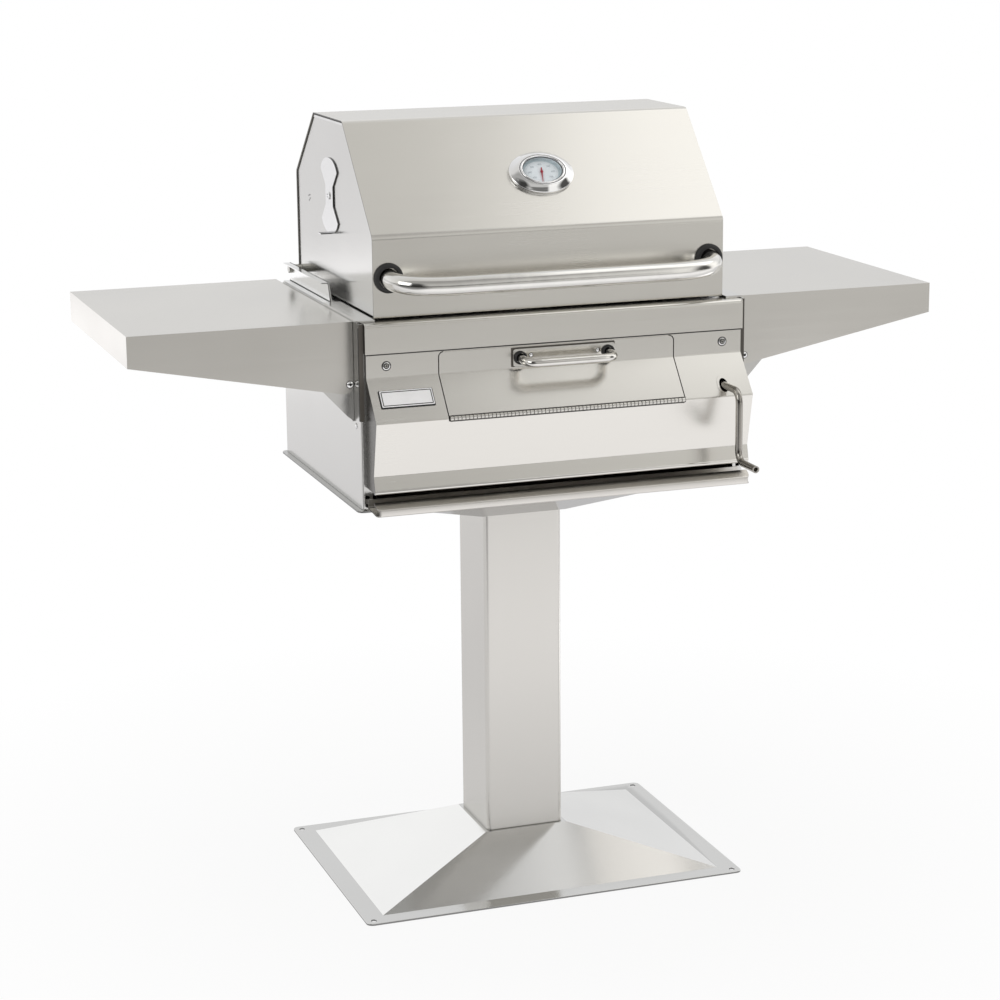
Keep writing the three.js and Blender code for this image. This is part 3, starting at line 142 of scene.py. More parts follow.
def piece(name, bm, material, body, smooth=35):
    bmesh.ops.recalc_face_normals(bm, faces=bm.faces)
    mesh = bpy.data.meshes.new(name)
    bm.to_mesh(mesh)
    bm.free()
    mesh.materials.append(material)
    for face in mesh.polygons:
        face.use_smooth = True
    mesh.set_sharp_from_angle(angle=math.radians(smooth))
    made = linked(name, mesh)
    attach(made, body)
    return made


def stand_in(name, bm, material, node, smooth=35):
    """A piece in a node's place, with the node's body."""
    made = piece(name, bm, material, bodies[node], smooth)
    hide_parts(node)
    return made


def weighted(made):
    modifier = made.modifiers.new("Normals", "WEIGHTED_NORMAL")
    modifier.keep_sharp = True
    modifier.weight = 80


def sharp_edges(bm, angle, shortest):
    return [edge for edge in bm.edges if len(edge.link_faces) == 2
            and edge.calc_face_angle(0) > angle and edge.calc_length() > shortest]


def eased(bm, edges):
    bmesh.ops.bevel(bm, geom=edges, offset=EASING / 1000, segments=2, profile=0.5, affect="EDGES",
                    clamp_overlap=True)


def refined(node, material, smooth):
    """The node's own shape with its flat facets joined and its sheet edges eased."""
    source = frame["nodes"][node]
    bm = bmesh.new()
    bm.from_mesh(source.data)
    bmesh.ops.remove_doubles(bm, verts=bm.verts, dist=1e-6)
    bmesh.ops.dissolve_limit(bm, angle_limit=math.radians(1), verts=bm.verts, edges=bm.edges)
    eased(bm, sharp_edges(bm, math.radians(38), 3 * EASING / 1000))
    weighted(stand_in(node + "_finish", bm, material, node, smooth))


def ring_faces(bm, first, second):
    count = len(first)
    for i in range(count):
        j = (i + 1) % count
        bm.faces.new((first[i], first[j], second[j], second[i]))


def skinned(bm, rings, caps=True):
    for first, second in zip(rings, rings[1:]):
        ring_faces(bm, first, second)
    if caps:
        bm.faces.new(rings[0])
        bm.faces.new(rings[-1])


def circle(count):
    """The cosines and sines of even steps round a circle."""
    return [(math.cos(a), math.sin(a)) for a in (2 * math.pi * k / count for k in range(count))]


def turned(profile, sides, matrix, oval=1.0, bm=None):
    """A shape turned about the matrix's Z axis from (radius, height) pairs. A radius of 0 closes it."""
    bm = bm or bmesh.new()
    rings = []
    for radius, height in profile:
        if radius == 0:
            rings.append([bm.verts.new(matrix @ Vector((0, 0, height)))])
            continue
        ring = [Vector((radius * c, oval * radius * s, height)) for c, s in circle(sides)]
        rings.append([bm.verts.new(matrix @ point) for point in ring])
    for first, second in zip(rings, rings[1:]):
        if len(first) == 1 or len(second) == 1:
            point, ring = (first[0], second) if len(first) == 1 else (second[0], first)
            for i in range(sides):
                bm.faces.new((point, ring[i], ring[(i + 1) % sides]))
        else:
            ring_faces(bm, first, second)
    return bm


def closed_turned(profile, sides, matrix, oval=1.0, bm=None):
    """The same with its last ring joined to its first one."""
    return turned([*profile, profile[0]], sides, matrix, oval, bm)


def swept(points, radius, sides, caps=True):
    """A round bar along points in metres, with a radius in millimetres and a section that doesn't twist."""
    bm = bmesh.new()
    radius /= 1000
    rings = []
    side = None
    for i, point in enumerate(points):
        ahead = points[min(i + 1, len(points) - 1)] - points[max(i - 1, 0)]
        ahead.normalize()
        if side is None:
            side = ahead.orthogonal().normalized()
        side = (side - ahead * side.dot(ahead)).normalized()
        up = ahead.cross(side)
        rings.append([bm.verts.new(point + side * radius * c + up * radius * s) for c, s in circle(sides)])
    skinned(bm, rings, caps)
    return bm


def bent_line(corners, bends, straight=10, curved=18):
    """Points along straight lines whose corners are quadratic curves.
    Each pair of bends says how far before and after a corner its curve starts and ends."""
    line = []
    start = corners[0]
    for i, (before, after) in enumerate(bends, 1):
        back = corners[i] + (corners[i - 1] - corners[i]).normalized() * before / 1000
        ahead = corners[i] + (corners[i + 1] - corners[i]).normalized() * after / 1000
        line += [start.lerp(back, k / straight) for k in range(straight)]
        for k in range(curved):
            t = k / curved
            line.append(back * (1 - t) ** 2 + corners[i] * 2 * t * (1 - t) + ahead * t * t)
        start = ahead
    line += [start.lerp(corners[-1], k / straight) for k in range(straight + 1)]
    return line


def extruded(outline, depth, matrix, bm=None):
    """A flat outline given height along the matrix's Z axis."""
    bm = bm or bmesh.new()
    low = [bm.verts.new(matrix @ Vector((x, y, 0))) for x, y in outline]
    high = [bm.verts.new(matrix @ Vector((x, y, depth))) for x, y in outline]
    bm.faces.new(low)
    bm.faces.new(high)
    ring_faces(bm, low, high)
    return bm


def oblong(left, bottom, right, top):
    return [(left, bottom), (right, bottom), (right, top), (left, top)]


def rounded(width, height, radius, steps=6):
    """The outline of a rectangle with round corners about the origin."""
    outline = []
    for sx, sy, start in ((1, 1, 0), (-1, 1, 90), (-1, -1, 180), (1, -1, 270)):
        for k in range(steps + 1):
            a = math.radians(start + 90 * k / steps)
            outline.append((sx * (width / 2 - radius) + radius * math.cos(a),
                            sy * (height / 2 - radius) + radius * math.sin(a)))
    return outline


# Materials
def feed(tree, socket, value):
    """Links an output to the socket, or sets the socket to a number, a vector or a colour."""
    if isinstance(value, bpy.types.NodeSocket):
        tree.links.new(value, socket)
    elif socket.type == "RGBA":
        socket.default_value = (*value, 1)
    else:
        socket.default_value = value


def fill(tree, made, **values):
    """Feeds a node's inputs by keys that start with a capital, and sets its properties by the others."""
    for key, value in values.items():
        if key[0].isupper():
            feed(tree, made.inputs[key.replace("_", " ")], value)
        else:
            setattr(made, key, value)
    return made


def node(tree, kind, **values):
    return fill(tree, tree.nodes.new(kind), **values)


def fresh(name):
    """A new material with its tree, its shader and the object's coordinates."""
    material = bpy.data.materials.new(name)
    material.use_nodes = True
    tree = material.node_tree
    return material, tree, tree.nodes["Principled BSDF"], node(tree, "ShaderNodeTexCoord").outputs["Object"]


def noise(tree, coords, scale, detail=2.0, rough=0.5):
    """Noise whose scale may differ along the three axes."""
    mapping = node(tree, "ShaderNodeMapping", Vector=coords, Scale=scale)
    return node(tree, "ShaderNodeTexNoise", Vector=mapping.outputs["Vector"], Scale=1.0, Detail=detail,
                Roughness=rough).outputs["Fac"]


def ranged(tree, value, low, high, start=0.3, end=0.7):
    """Goes from low to high as the value goes from start to end."""
    return node(tree, "ShaderNodeMapRange", Value=value, From_Min=start, From_Max=end, To_Min=low,
                To_Max=high).outputs["Result"]


def combined(tree, operation, first, *others):
    for other in others:
        made = node(tree, "ShaderNodeMath", operation=operation)
        feed(tree, made.inputs[0], first)
        feed(tree, made.inputs[1], other)
        first = made.outputs["Value"]
    return first


def separated(tree, vector):
    return node(tree, "ShaderNodeSeparateXYZ", Vector=vector).outputs


def mixed(tree, factor, first, second, kind="MIX"):
    """One colour blended into another, or multiplied by it."""
    made = node(tree, "ShaderNodeMix", data_type="RGBA", blend_type=kind, Factor=factor)
    feed(tree, made.inputs[6], first)
    feed(tree, made.inputs[7], second)
    return made.outputs[2]


def two_shaders(tree, factor, first, second):
    """Sends a mix of two shaders to the material's output."""
    mix = node(tree, "ShaderNodeMixShader")
    for socket, value in zip(mix.inputs, (factor, first, second)):
        feed(tree, socket, value)
    feed(tree, tree.nodes["Material Output"].inputs["Surface"], mix.outputs["Shader"])


def tinted(tree, colour, factor):
    """The colour multiplied by a grey factor."""
    grey = node(tree, "ShaderNodeCombineColor")
    for socket in grey.inputs[:3]:
        feed(tree, socket, factor)
    return mixed(tree, 1.0, colour, grey.outputs["Color"], "MULTIPLY")


def bumped(tree, height, strength, distance):
    return node(tree, "ShaderNodeBump", Strength=strength, Distance=distance, Height=height).outputs["Normal"]


def stretched(grain, along, across):
    return tuple(along if axis == grain else across for axis in "xyz")


GRAIN = {"x": (1.0, 0.11, 0.07), "y": (0.09, 1.0, 0.06), "z": (0.08, 0.05, 1.0)}


def painted_face_shade(tree, axis, start, end, shade_level):
    """Painted shade: goes from 1 to the shade level as the axis share of the face's normal goes from start to
    end.
    """
    geometry = node(tree, "ShaderNodeNewGeometry")
    turn = node(tree, "ShaderNodeVectorTransform", vector_type="NORMAL", convert_from="WORLD",
                convert_to="OBJECT", Vector=geometry.outputs["True Normal"])
    share = combined(tree, "ABSOLUTE", separated(tree, turn.outputs["Vector"])[axis], 0)
    return ranged(tree, share, 1.0, shade_level, start, end)


def steel(name, colour, roughness, grain, streaks=0.005, brush=0.008, directed=0.5, dull=()):
    """Brushed stainless steel: fine lines along the grain, broad faint streaks and soft clouding.
    Each entry of dull is painted shade: an axis, the shares where its darkening starts and ends, and the
    level there."""
    material, tree, shader, coords = fresh(name)
    lines = noise(tree, coords, stretched(grain, 9, 1500), 3.0, 0.6)
    bands = noise(tree, coords, stretched(grain, 1.6, 110))
    clouds = noise(tree, coords, (5.0, 5.0, 5.0))
    level = combined(tree, "MULTIPLY", ranged(tree, bands, 1 - streaks, 1 + streaks / 2),
                     ranged(tree, clouds, 0.985, 1.015), ranged(tree, lines, 0.985, 1.01),
                     *(painted_face_shade(tree, *faces) for faces in dull))
    shade = combined(tree, "ADD", ranged(tree, bands, roughness - 0.006, roughness + 0.006),
                     ranged(tree, lines, -0.01, 0.01), ranged(tree, clouds, -0.02, 0.02))
    turn = node(tree, "ShaderNodeVectorTransform", vector_type="VECTOR", convert_from="OBJECT",
                convert_to="WORLD", Vector=GRAIN[grain])
    fill(tree, shader, Base_Color=tinted(tree, colour, level), Roughness=shade, Metallic=1.0,
         Anisotropic=directed, Normal=bumped(tree, lines, brush, 0.00006), Tangent=turn.outputs["Vector"])
    return material


def polished(name, colour, roughness, scratch=0.03):
    """Bright metal with faint fine scratches and a little haze."""
    material, tree, shader, coords = fresh(name)
    haze = noise(tree, coords, (40.0, 40.0, 40.0), 3.0, 0.6)
    fine = noise(tree, coords, (700.0, 160.0, 900.0))
    shade = combined(tree, "ADD", ranged(tree, haze, roughness * 0.8, roughness * 1.3),
                     ranged(tree, fine, 0, scratch))
    fill(tree, shader, Base_Color=tinted(tree, colour, ranged(tree, haze, 0.96, 1.02)), Roughness=shade,
         Metallic=1.0, Normal=bumped(tree, fine, 0.05, 0.00004))
    return material


def matt(name, colour, roughness, scale=900.0, bumpiness=0.2, spread=0.1):
    """Rubber, enamel or paint with a fine grain."""
    material, tree, shader, coords = fresh(name)
    fine = noise(tree, coords, (scale, scale, scale), 3.0, 0.6)
    broad = noise(tree, coords, (60.0, 60.0, 60.0))
    level = combined(tree, "MULTIPLY", ranged(tree, fine, 1 - spread, 1 + spread),
                     ranged(tree, broad, 0.97, 1.03))
    fill(tree, shader, Base_Color=tinted(tree, colour, level), Normal=bumped(tree, fine, bumpiness, 0.0001),
         Roughness=ranged(tree, broad, roughness - 0.05, roughness + 0.05))
    return material


STAIN = ((0.42, (1, 1, 1)), (0.72, (0.62, 0.52, 0.42)))


def heated(name, colour, roughness, grain):
    """Steel that has seen fire: brown stains over a brushed face."""
    material = steel(name, colour, roughness, grain, 0.08, 0.2, 0.3)
    tree = material.node_tree
    shader = tree.nodes["Principled BSDF"]
    coords = node(tree, "ShaderNodeTexCoord").outputs["Object"]
    ramp = node(tree, "ShaderNodeValToRGB", Fac=noise(tree, coords, (9.0, 9.0, 14.0), 5.0, 0.6))
    for stop, (position, tint) in zip(ramp.color_ramp.elements, STAIN):
        stop.position = position
        stop.color = (*tint, 1)
    base = shader.inputs["Base Color"].links[0].from_socket
    fill(tree, shader, Base_Color=mixed(tree, 1.0, base, ramp.outputs["Color"], "MULTIPLY"))
    return material


def ray(tree, kind):
    """1 for rays of the kind, otherwise 0."""
    return node(tree, "ShaderNodeLightPath").outputs[f"Is {kind} Ray"]


def glass(name):
    """Clear glass that lets light through from the dial, with a faint bloom on it."""
    material, tree, shader, coords = fresh(name)
    bloom = noise(tree, coords, (90.0, 90.0, 90.0), 3.0, 0.6)
    fill(tree, shader, Base_Color=tinted(tree, (0.94, 0.97, 0.98), ranged(tree, bloom, 0.99, 1.0)),
         Roughness=ranged(tree, bloom, 0.0, 0.04), Transmission_Weight=1.0, IOR=1.03, Specular_IOR_Level=0.5)
    clear = node(tree, "ShaderNodeBsdfTransparent")
    two_shaders(tree, ray(tree, "Shadow"), shader.outputs["BSDF"], clear.outputs["BSDF"])
    return material


WARM = (0.77, 0.753, 0.71)
front_steel = steel("Front_steel", WARM, 0.25, "x")
# Painted shade: some steels darken faces by the way they face, the sheet edges of hood, panel, drawer, foot,
# collar and damper, and the foot's flat faces
hood_steel = steel("Hood_steel", WARM, 0.25, "x", dull=(("X", 0.75, 0.95, 0.14),))
panel_steel = steel("Panel_steel", WARM, 0.25, "x", dull=(("X", 0.75, 0.95, 0.25),))
drawer_steel = steel("Drawer_steel", (0.74, 0.72, 0.68), 0.28, "x", dull=(("X", 0.75, 0.95, 0.25),))
# Painted shade: the firebox floor is made near black for its shaded underside
shaded_underside_steel = steel("Shaded_underside_steel", (0.16, 0.157, 0.15), 0.35, "x")
side_steel = steel("Side_steel", (0.74, 0.735, 0.715), 0.17, "y")
hood_side_steel = steel("Hood_side_steel", (0.775, 0.77, 0.75), 0.17, "y")
channel_steel = steel("Channel_steel", (0.95, 0.95, 0.94), 0.20, "y")
shelf_steel = steel("Shelf_steel", (0.735, 0.718, 0.68), 0.24, "x")
post_steel = steel("Post_steel", (0.71, 0.695, 0.66), 0.24, "z")
foot_steel = steel("Foot_steel", (0.93, 0.93, 0.915), 0.13, "x",
                   dull=(("Z", 0.5, 0.2, 0.3), ("Z", 0.9975, 0.9995, 0.66)))
collar_steel = steel("Collar_steel", (0.50, 0.50, 0.49), 0.20, "x", dull=(("Z", 0.5, 0.2, 0.5),))
# Painted reflection: the dampers' steel is near white to stand for the bright room they mirror
damper_sheen_steel = steel("Damper_sheen_steel", (0.97, 0.97, 0.97), 0.20, "y", dull=(("X", 0.6, 0.3, 0.2),))
handle_plate = polished("Handle_plate_steel", (0.80, 0.785, 0.745), 0.12)
knuckle_steel = polished("Knuckle_steel", (0.74, 0.725, 0.69), 0.20)
pivot_steel = steel("Pivot_steel", (0.97, 0.97, 0.97), 0.20, "y")
bright_plate = polished("Bright_plate", (0.90, 0.90, 0.89), 0.12)
tube_steel = polished("Tube_steel", (0.78, 0.765, 0.73), 0.09)
hood_tube = polished("Hood_tube_steel", (0.80, 0.79, 0.76), 0.13)
chrome = polished("Chrome", (0.93, 0.93, 0.93), 0.03, 0.01)
crank_steel = polished("Crank_steel", (0.43, 0.41, 0.375), 0.13)
screw_steel = polished("Screw_steel", (0.56, 0.55, 0.52), 0.20)
grid_steel = polished("Grid_steel", (0.66, 0.65, 0.62), 0.22)
inner_steel = heated("Inner_steel", (0.52, 0.50, 0.46), 0.36, "x")
inner_side = heated("Inner_side_steel", (0.52, 0.50, 0.46), 0.36, "y")
tray_steel = heated("Tray_steel", (0.44, 0.42, 0.39), 0.42, "x")
dark_steel = steel("Dark_steel", (0.30, 0.29, 0.28), 0.40, "y", 0.06, 0.2, 0.2)
brass = polished("Brass", (0.72, 0.55, 0.28), 0.25)
rubber = matt("Black_rubber", (0.018, 0.018, 0.018), 0.55)
dial_paint = matt("Dial_white", (0.95, 0.96, 0.98), 0.45, 1500.0, 0.03, 0.02)
dial_ring = matt("Dial_grey_ring", (0.70, 0.77, 0.80), 0.45, 1500.0, 0.03, 0.04)
dial_well_paint = matt("Dial_well", (0.80, 0.84, 0.86), 0.5, 1500.0, 0.03, 0.03)
print_grey = matt("Dial_print", (0.40, 0.43, 0.46), 0.5, 1500.0, 0.02, 0.05)
plate_silver = matt("Plate_silver", (0.93, 0.93, 0.94), 0.35, 1200.0, 0.05, 0.03)
needle_paint = matt("Needle_red", (0.45, 0.03, 0.05), 0.4, 1200.0, 0.03, 0.05)
# Black for painted shade round screws, nuts and the name plate, and for the hood's rivets and the damper's
# dots
shadow_black = matt("Shade_black", (0.012, 0.012, 0.012), 0.6)
# Dark for the hood's seams, and for painted shade in folds, grooves and gaps
seam_and_shade_dark = matt("Seam_and_shade_dark", (0.05, 0.048, 0.045), 0.6)
# Painted shade: a dark brown for the wall returns and round the door handle's plate
shade_brown = matt("Shade_brown", (0.10, 0.09, 0.077), 0.5)


def pair(name, material):
    """The same material for a piece on the right and on the left."""
    return {f"{name}_{word}": material for word, _ in SIDES}


# Sheet pieces keep their CAD shape with eased edges
FINISHES = {
    "base_plate": foot_steel, "post": post_steel, "top_plate": collar_steel,
    **pair("firebox_side", side_steel), "front_panel": panel_steel, "front_trim": panel_steel,
    "charcoal_door": panel_steel, **pair("hood_side", hood_side_steel), **pair("damper", damper_sheen_steel),
    **pair("shelf", shelf_steel), **pair("shelf_front_gusset", side_steel),
    **pair("shelf_rear_gusset", side_steel), "door_handle_plate": handle_plate,
    "ash_drawer_pan": inner_steel, "ash_drawer_front": drawer_steel, "firebox_floor": shaded_underside_steel,
    "firebox_back": front_steel, "firebox_front": inner_steel, **pair("liner", inner_side),
    "rear_grid_ledge": inner_steel, "charcoal_tray": tray_steel, **pair("cam_plate", dark_steel),
    "lift_crossbar": dark_steel,
}
# The angle in degrees from which the plates' shallow folds stay crisp
CRISP = {"base_plate": 5, "top_plate": 5}
for name, material in FINISHES.items():
    refined(name, material, smooth=CRISP.get(name, 35))


# The hood's bent sheet with its seams, and the channels of its hinges
def bent_section(corners, radii, outer, inner, steps=8):
    """The outline of a sheet that follows the corners, between two depths behind their line."""
    points = [Vector(corner) for corner in corners]
    front, back = [], []

    def add(point, normal):
        front.append(point - normal * outer)
        back.append(point - normal * inner)

    for i, (point, radius) in enumerate(zip(points, radii)):
        before = (point - points[i - 1]).normalized() if i else (points[1] - point).normalized()
        after = (points[i + 1] - point).normalized() if i + 1 < len(points) else before
        turn = math.acos(max(-1.0, min(1.0, before.dot(after))))
        reach = radius * math.tan(turn / 2)
        normal = Vector((-before.y, before.x))
        if turn < 0.01:
            add(point, normal)
            continue
        centre = point - before * reach - normal * radius
        for k in range(steps + 1):
            a = -turn * k / steps
            spoke = Vector((normal.x * math.cos(a) - normal.y * math.sin(a),
                            normal.x * math.sin(a) + normal.y * math.cos(a)))
            add(centre + spoke * radius, spoke)
    return front + back[::-1]


def along_x(outline, start, end, bm=None):
    """A section of (y, z) points drawn out between two places in X."""
    return extruded(outline, end - start, place((start, 0, 0), *RIGHT), bm)


def beside(outline, side, near, far, bm=None):
    """The section drawn out on one side of the object, between two distances from its middle."""
    start, end = sorted((side * near, side * far))
    return along_x(outline, start, end, bm)


HOOD_BENDS = (0, 3, 14, 12, 8, 8, 0)
SEAM_DEPTH = 3.6
HEM_DEPTH = 6.8
LINE_GAP = 0.05


def hood_sheet():
    """The bent sheet, a dark seam inside its side edges, and a bright strip under its top that is a painted
    highlight along the hem.
    """
    bm = along_x(bent_section(hood_line, HOOD_BENDS, 0, sheet), -hood_half, hood_half)
    square = [edge for edge in sharp_edges(bm, math.radians(60), 5 * EASING / 1000)
              if edge.calc_face_angle(0) < math.radians(115)]
    eased(bm, square)
    weighted(stand_in("hood_wrapper_sheet", bm, hood_steel, "hood_wrapper"))
    seam, hem_highlight = bmesh.new(), bmesh.new()
    line = bent_section(hood_line[1:], HOOD_BENDS[1:], sheet, SEAM_DEPTH)
    hem_top, hem_foot = hood_high.z - SEAM_DEPTH, hood_high.z - HEM_DEPTH
    # Painted highlight: a brighter polished strip along the hem under the top
    hem_line = [(top_front - 1, hem_top), (top_back - 1, hem_top), (top_back + 2, hem_foot),
                (top_front - 4, hem_foot)]
    for _, side in SIDES:
        beside(line, side, hood_panel + LINE_GAP, hood_panel + 0.6, seam)
        beside(hem_line, side, hood_panel + LINE_GAP, hood_panel + 0.7, hem_highlight)
    piece("hood_seam", seam, seam_and_shade_dark, "hood")
    piece("hood_hem_highlight", hem_highlight, bright_plate, "hood")


def channel(name, side):
    """A hinge channel: a web near the hood, two flanges that point outward, and dark lines of painted shade
    in its folds.
    """
    low, high = corners_of("hood_hinge_bracket_right")
    front, back, bottom, top = low.y, high.y, low.z + 0.1, high.z - 0.1
    inner, outer = low.x + LINE_GAP, high.x - 0.1
    slant = 16
    web_line = [(front, bottom), (back, bottom), (back, top), (front + slant, top)]
    foot_line = [(front, bottom), (back, bottom), (back, bottom + sheet), (front + 1, bottom + sheet)]
    bm = beside(web_line, side, inner, inner + sheet)
    beside(oblong(front + slant, top - sheet, back, top), side, inner, outer, bm)
    beside(foot_line, side, inner, outer, bm)
    stand_in(name + "_channel", bm, channel_steel, name)
    # Painted shade: dark lines along the channel's folds
    under, over, end = top - sheet - 0.1, bottom + sheet + 0.1, back - 1
    upper = [(front + slant - 2, under - 1.1), (end, under - 1.1), (end, under), (front + slant - 1, under)]
    lower = oblong(front + 2, over, end, over + 0.9)
    leaning = [(front + 0.4, over), (front + 5.5, over), (front + slant + 0.2, under),
               (front + slant - 1.2, under)]
    shade = bmesh.new()
    for line in (upper, lower, leaning):
        beside(line, side, inner + sheet + LINE_GAP, inner + sheet + 0.45, shade)
    piece(name + "_lines", shade, seam_and_shade_dark, "stand")


hood_sheet()
for word, side in SIDES:
    channel("hood_hinge_bracket_" + word, side)


# Handles, their grommets and the crank
def flat_foot(bm, y):
    """Cuts a bar off at a plane square to Y and closes it."""
    geometry = bm.verts[:] + bm.edges[:] + bm.faces[:]
    cut = bmesh.ops.bisect_plane(bm, geom=geometry, plane_co=at(0, y, 0), plane_no=(0, 1, 0),
                                 clear_outer=True)
    edges = [e for e in cut["geom_cut"] if isinstance(e, bmesh.types.BMEdge)]
    bmesh.ops.edgenet_fill(bm, edges=edges)
    return bm


def handle_line(size):
    """The tube's middle line, longer at its ends than the tube, which is cut off at its feet."""
    slope = size["sag"] / (size["foot"] - size["out"])
    extra = 6
    start, high = size["foot"] + extra, size["high"] + slope * extra
    low = size["high"] - size["sag"]
    left, right = size["middle"] - size["half"], size["middle"] + size["half"]
    corners = [at(left, start, high), at(left, size["out"], low), at(right, size["out"], low),
               at(right, start, high)]
    return bent_line(corners, (size["bend"], size["bend"][::-1]))


def handle(name, size, material):
    bm = swept(handle_line(size), size["radius"] - BAR_CLEARANCE, 40)
    stand_in(name + "_tube", flat_foot(bm, size["foot"]), material, name)


def grommet(name, size, side, profile, material):
    matrix = place((size["middle"] + side * size["half"], size["foot"], size["high"]), *FRONT)
    stand_in(name + "_ring", closed_turned(profile, 48, matrix), material, name)


handle("hood_handle", hood_handle, hood_tube)
handle("door_handle", door_handle, tube_steel)
HOOD_RING = [(15.2, 0.0), (22, 0.0), (22, 2.2), (21.4, 4.2), (19.8, 5.8), (17.6, 6.8), (15.9, 6.9),
             (15.2, 6.0)]
DOOR_RING = [(7.2, 0.0), (10, 0.0), (10, 2.2), (9.5, 3.8), (8.4, 4.8), (7.6, 4.9), (7.2, 4.3)]
for word, side in SIDES:
    grommet("hood_handle_grommet_" + word, hood_handle, side, HOOD_RING, rubber)
    grommet("door_handle_grommet_" + word, door_handle, side, DOOR_RING, rubber)


CRANK_BEND = (20, 20)
MOUTH_RADIUS, MOUTH_DEPTH = 3.1, 20
BORE_RADIUS, BORE_DEPTH = 2.3, 12.5


def crank():
    """The twice bent rod, hollow at its free end and bored at its other end."""
    rod = rod_radius - BAR_CLEARANCE
    corners = [at(crank_place, crank_start, crank_height), at(crank_place, crank_front, crank_height),
               at(crank_place, crank_front, crank_low), at(crank_place, crank_end, crank_low)]
    bm = swept(bent_line(corners, (CRANK_BEND, CRANK_BEND), 12, 20), rod, 32, caps=False)
    mouth = place((crank_place, crank_end, crank_low), *FRONT)
    turned([(rod, 0.0), (rod - 0.35, 0.0), (MOUTH_RADIUS + 0.3, 0.0), (MOUTH_RADIUS, -0.4),
            (MOUTH_RADIUS, -MOUTH_DEPTH), (0, -MOUTH_DEPTH)], 32, mouth, bm=bm)
    back = place((crank_place, crank_start, crank_height), (1, 0, 0), (0, 0, -1))
    turned([(rod, 0.0), (BORE_RADIUS, 0.0), (BORE_RADIUS, BORE_DEPTH), (0, BORE_DEPTH)], 32, back, bm=bm)
    bmesh.ops.remove_doubles(bm, verts=bm.verts, dist=1e-5)
    stand_in("crank_rod", bm, crank_steel, "crank_handle")


SCREW_LEAD = 8
SCREW_STARTS = 2
SCREW_STEPS = 16
SCREW_BARE_ENDS = (20, 12)
SCREW_RIB = [(-1.0, 5.85), (-0.7, 6.15), (0.7, 6.15), (1.0, 5.85)]


def screw_thread():
    """Ribs wound right-handed on the lift screw. Their lead is the carriage's travel in a turn."""
    low, high = (corner * 1000 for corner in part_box("lift_screw"))
    middle = (low + high) / 2
    begin, finish = low.y + SCREW_BARE_ENDS[0], high.y - SCREW_BARE_ENDS[1]
    turns = int((finish - begin) / SCREW_LEAD)
    bm = bmesh.new()
    for start in range(SCREW_STARTS):
        rings = []
        for k in range(turns * SCREW_STEPS + 1):
            angle = 2 * math.pi * (k / SCREW_STEPS + start / SCREW_STARTS)
            along = begin + SCREW_LEAD * k / SCREW_STEPS
            rings.append([bm.verts.new(Vector((middle.x + radius * math.sin(angle), along + shift,
                                               middle.z + radius * math.cos(angle))) / 1000)
                          for shift, radius in SCREW_RIB])
        skinned(bm, rings)
    piece("lift_screw_thread", bm, screw_steel, "crank")


crank()
screw_thread()


# Piano hinge with fine knuckles on the ridge
LEAF_SPAN, LEAF_DEPTH = (4.2, 18), (1.8, 3.0)
KNUCKLE_SPAN = (0.6, 4.4)
KNUCKLE_RADIUS, PIN_HOLE = 3.2, 1.75
KNUCKLE_GAP, KNUCKLE_EDGE = 1.0, 0.3
HINGE_SHADE_SPAN, HINGE_SHADE_DEPTH = (3.5, 5.0), (0, -0.25)


def leaf(name, target, parity):
    """A leaf from the ridge towards the target, with every second knuckle and a dark line of painted shade
    beside them.
    """
    ridge = Vector((ridge_face, ridge_height))
    along = (Vector(target) - ridge).normalized()
    inward = Vector((-along.y, along.x)) * (-1 if along.y > 0 else 1)

    def strip(span, depth, start, end, bm=None):
        outline = oblong(span[0], depth[0], span[1], depth[1])
        return along_x([ridge + along * away + inward * behind for away, behind in outline], start, end, bm)

    bm = strip(LEAF_SPAN, LEAF_DEPTH, -door_half, door_half)
    pitch = 2 * door_half / knuckles
    length = pitch - KNUCKLE_GAP
    edge = KNUCKLE_RADIUS - KNUCKLE_EDGE
    profile = [(PIN_HOLE, 0), (edge, 0), (KNUCKLE_RADIUS, KNUCKLE_EDGE),
               (KNUCKLE_RADIUS, length - KNUCKLE_EDGE), (edge, length), (PIN_HOLE, length)]
    for i in range(parity, knuckles, 2):
        start = -door_half + i * pitch + KNUCKLE_GAP / 2
        closed_turned(profile, 20, place((start, ridge_face, ridge_height), *RIGHT), bm=bm)
        strip(KNUCKLE_SPAN, LEAF_DEPTH, start, start + length, bm)
    stand_in(name + "_knuckles", bm, knuckle_steel, name)
    # Painted shade: a dark strip on the panel beside the knuckles
    shade = strip(HINGE_SHADE_SPAN, HINGE_SHADE_DEPTH, KNUCKLE_GAP / 2 - door_half, door_half - KNUCKLE_GAP / 2)
    piece(name + "_line", shade, seam_and_shade_dark, bodies[name])


leaf("door_hinge_moving_leaf", (panel_face, panel_bend), 1)
leaf("door_hinge_fixed_leaf", (lower_bend_face, lower_bend_height), 0)


# Thermometer
DIAL = place(dial_middle, (1, 0, 0), hood_slope)
DIAL_FACE = 4.5


def oval(profile, bm=None, make=closed_turned):
    return make(profile, 96, DIAL, dial_oval, bm)


def on_dial(name, profile, material, make=turned):
    stand_in(name + "_form", oval(profile, make=make), material, name)


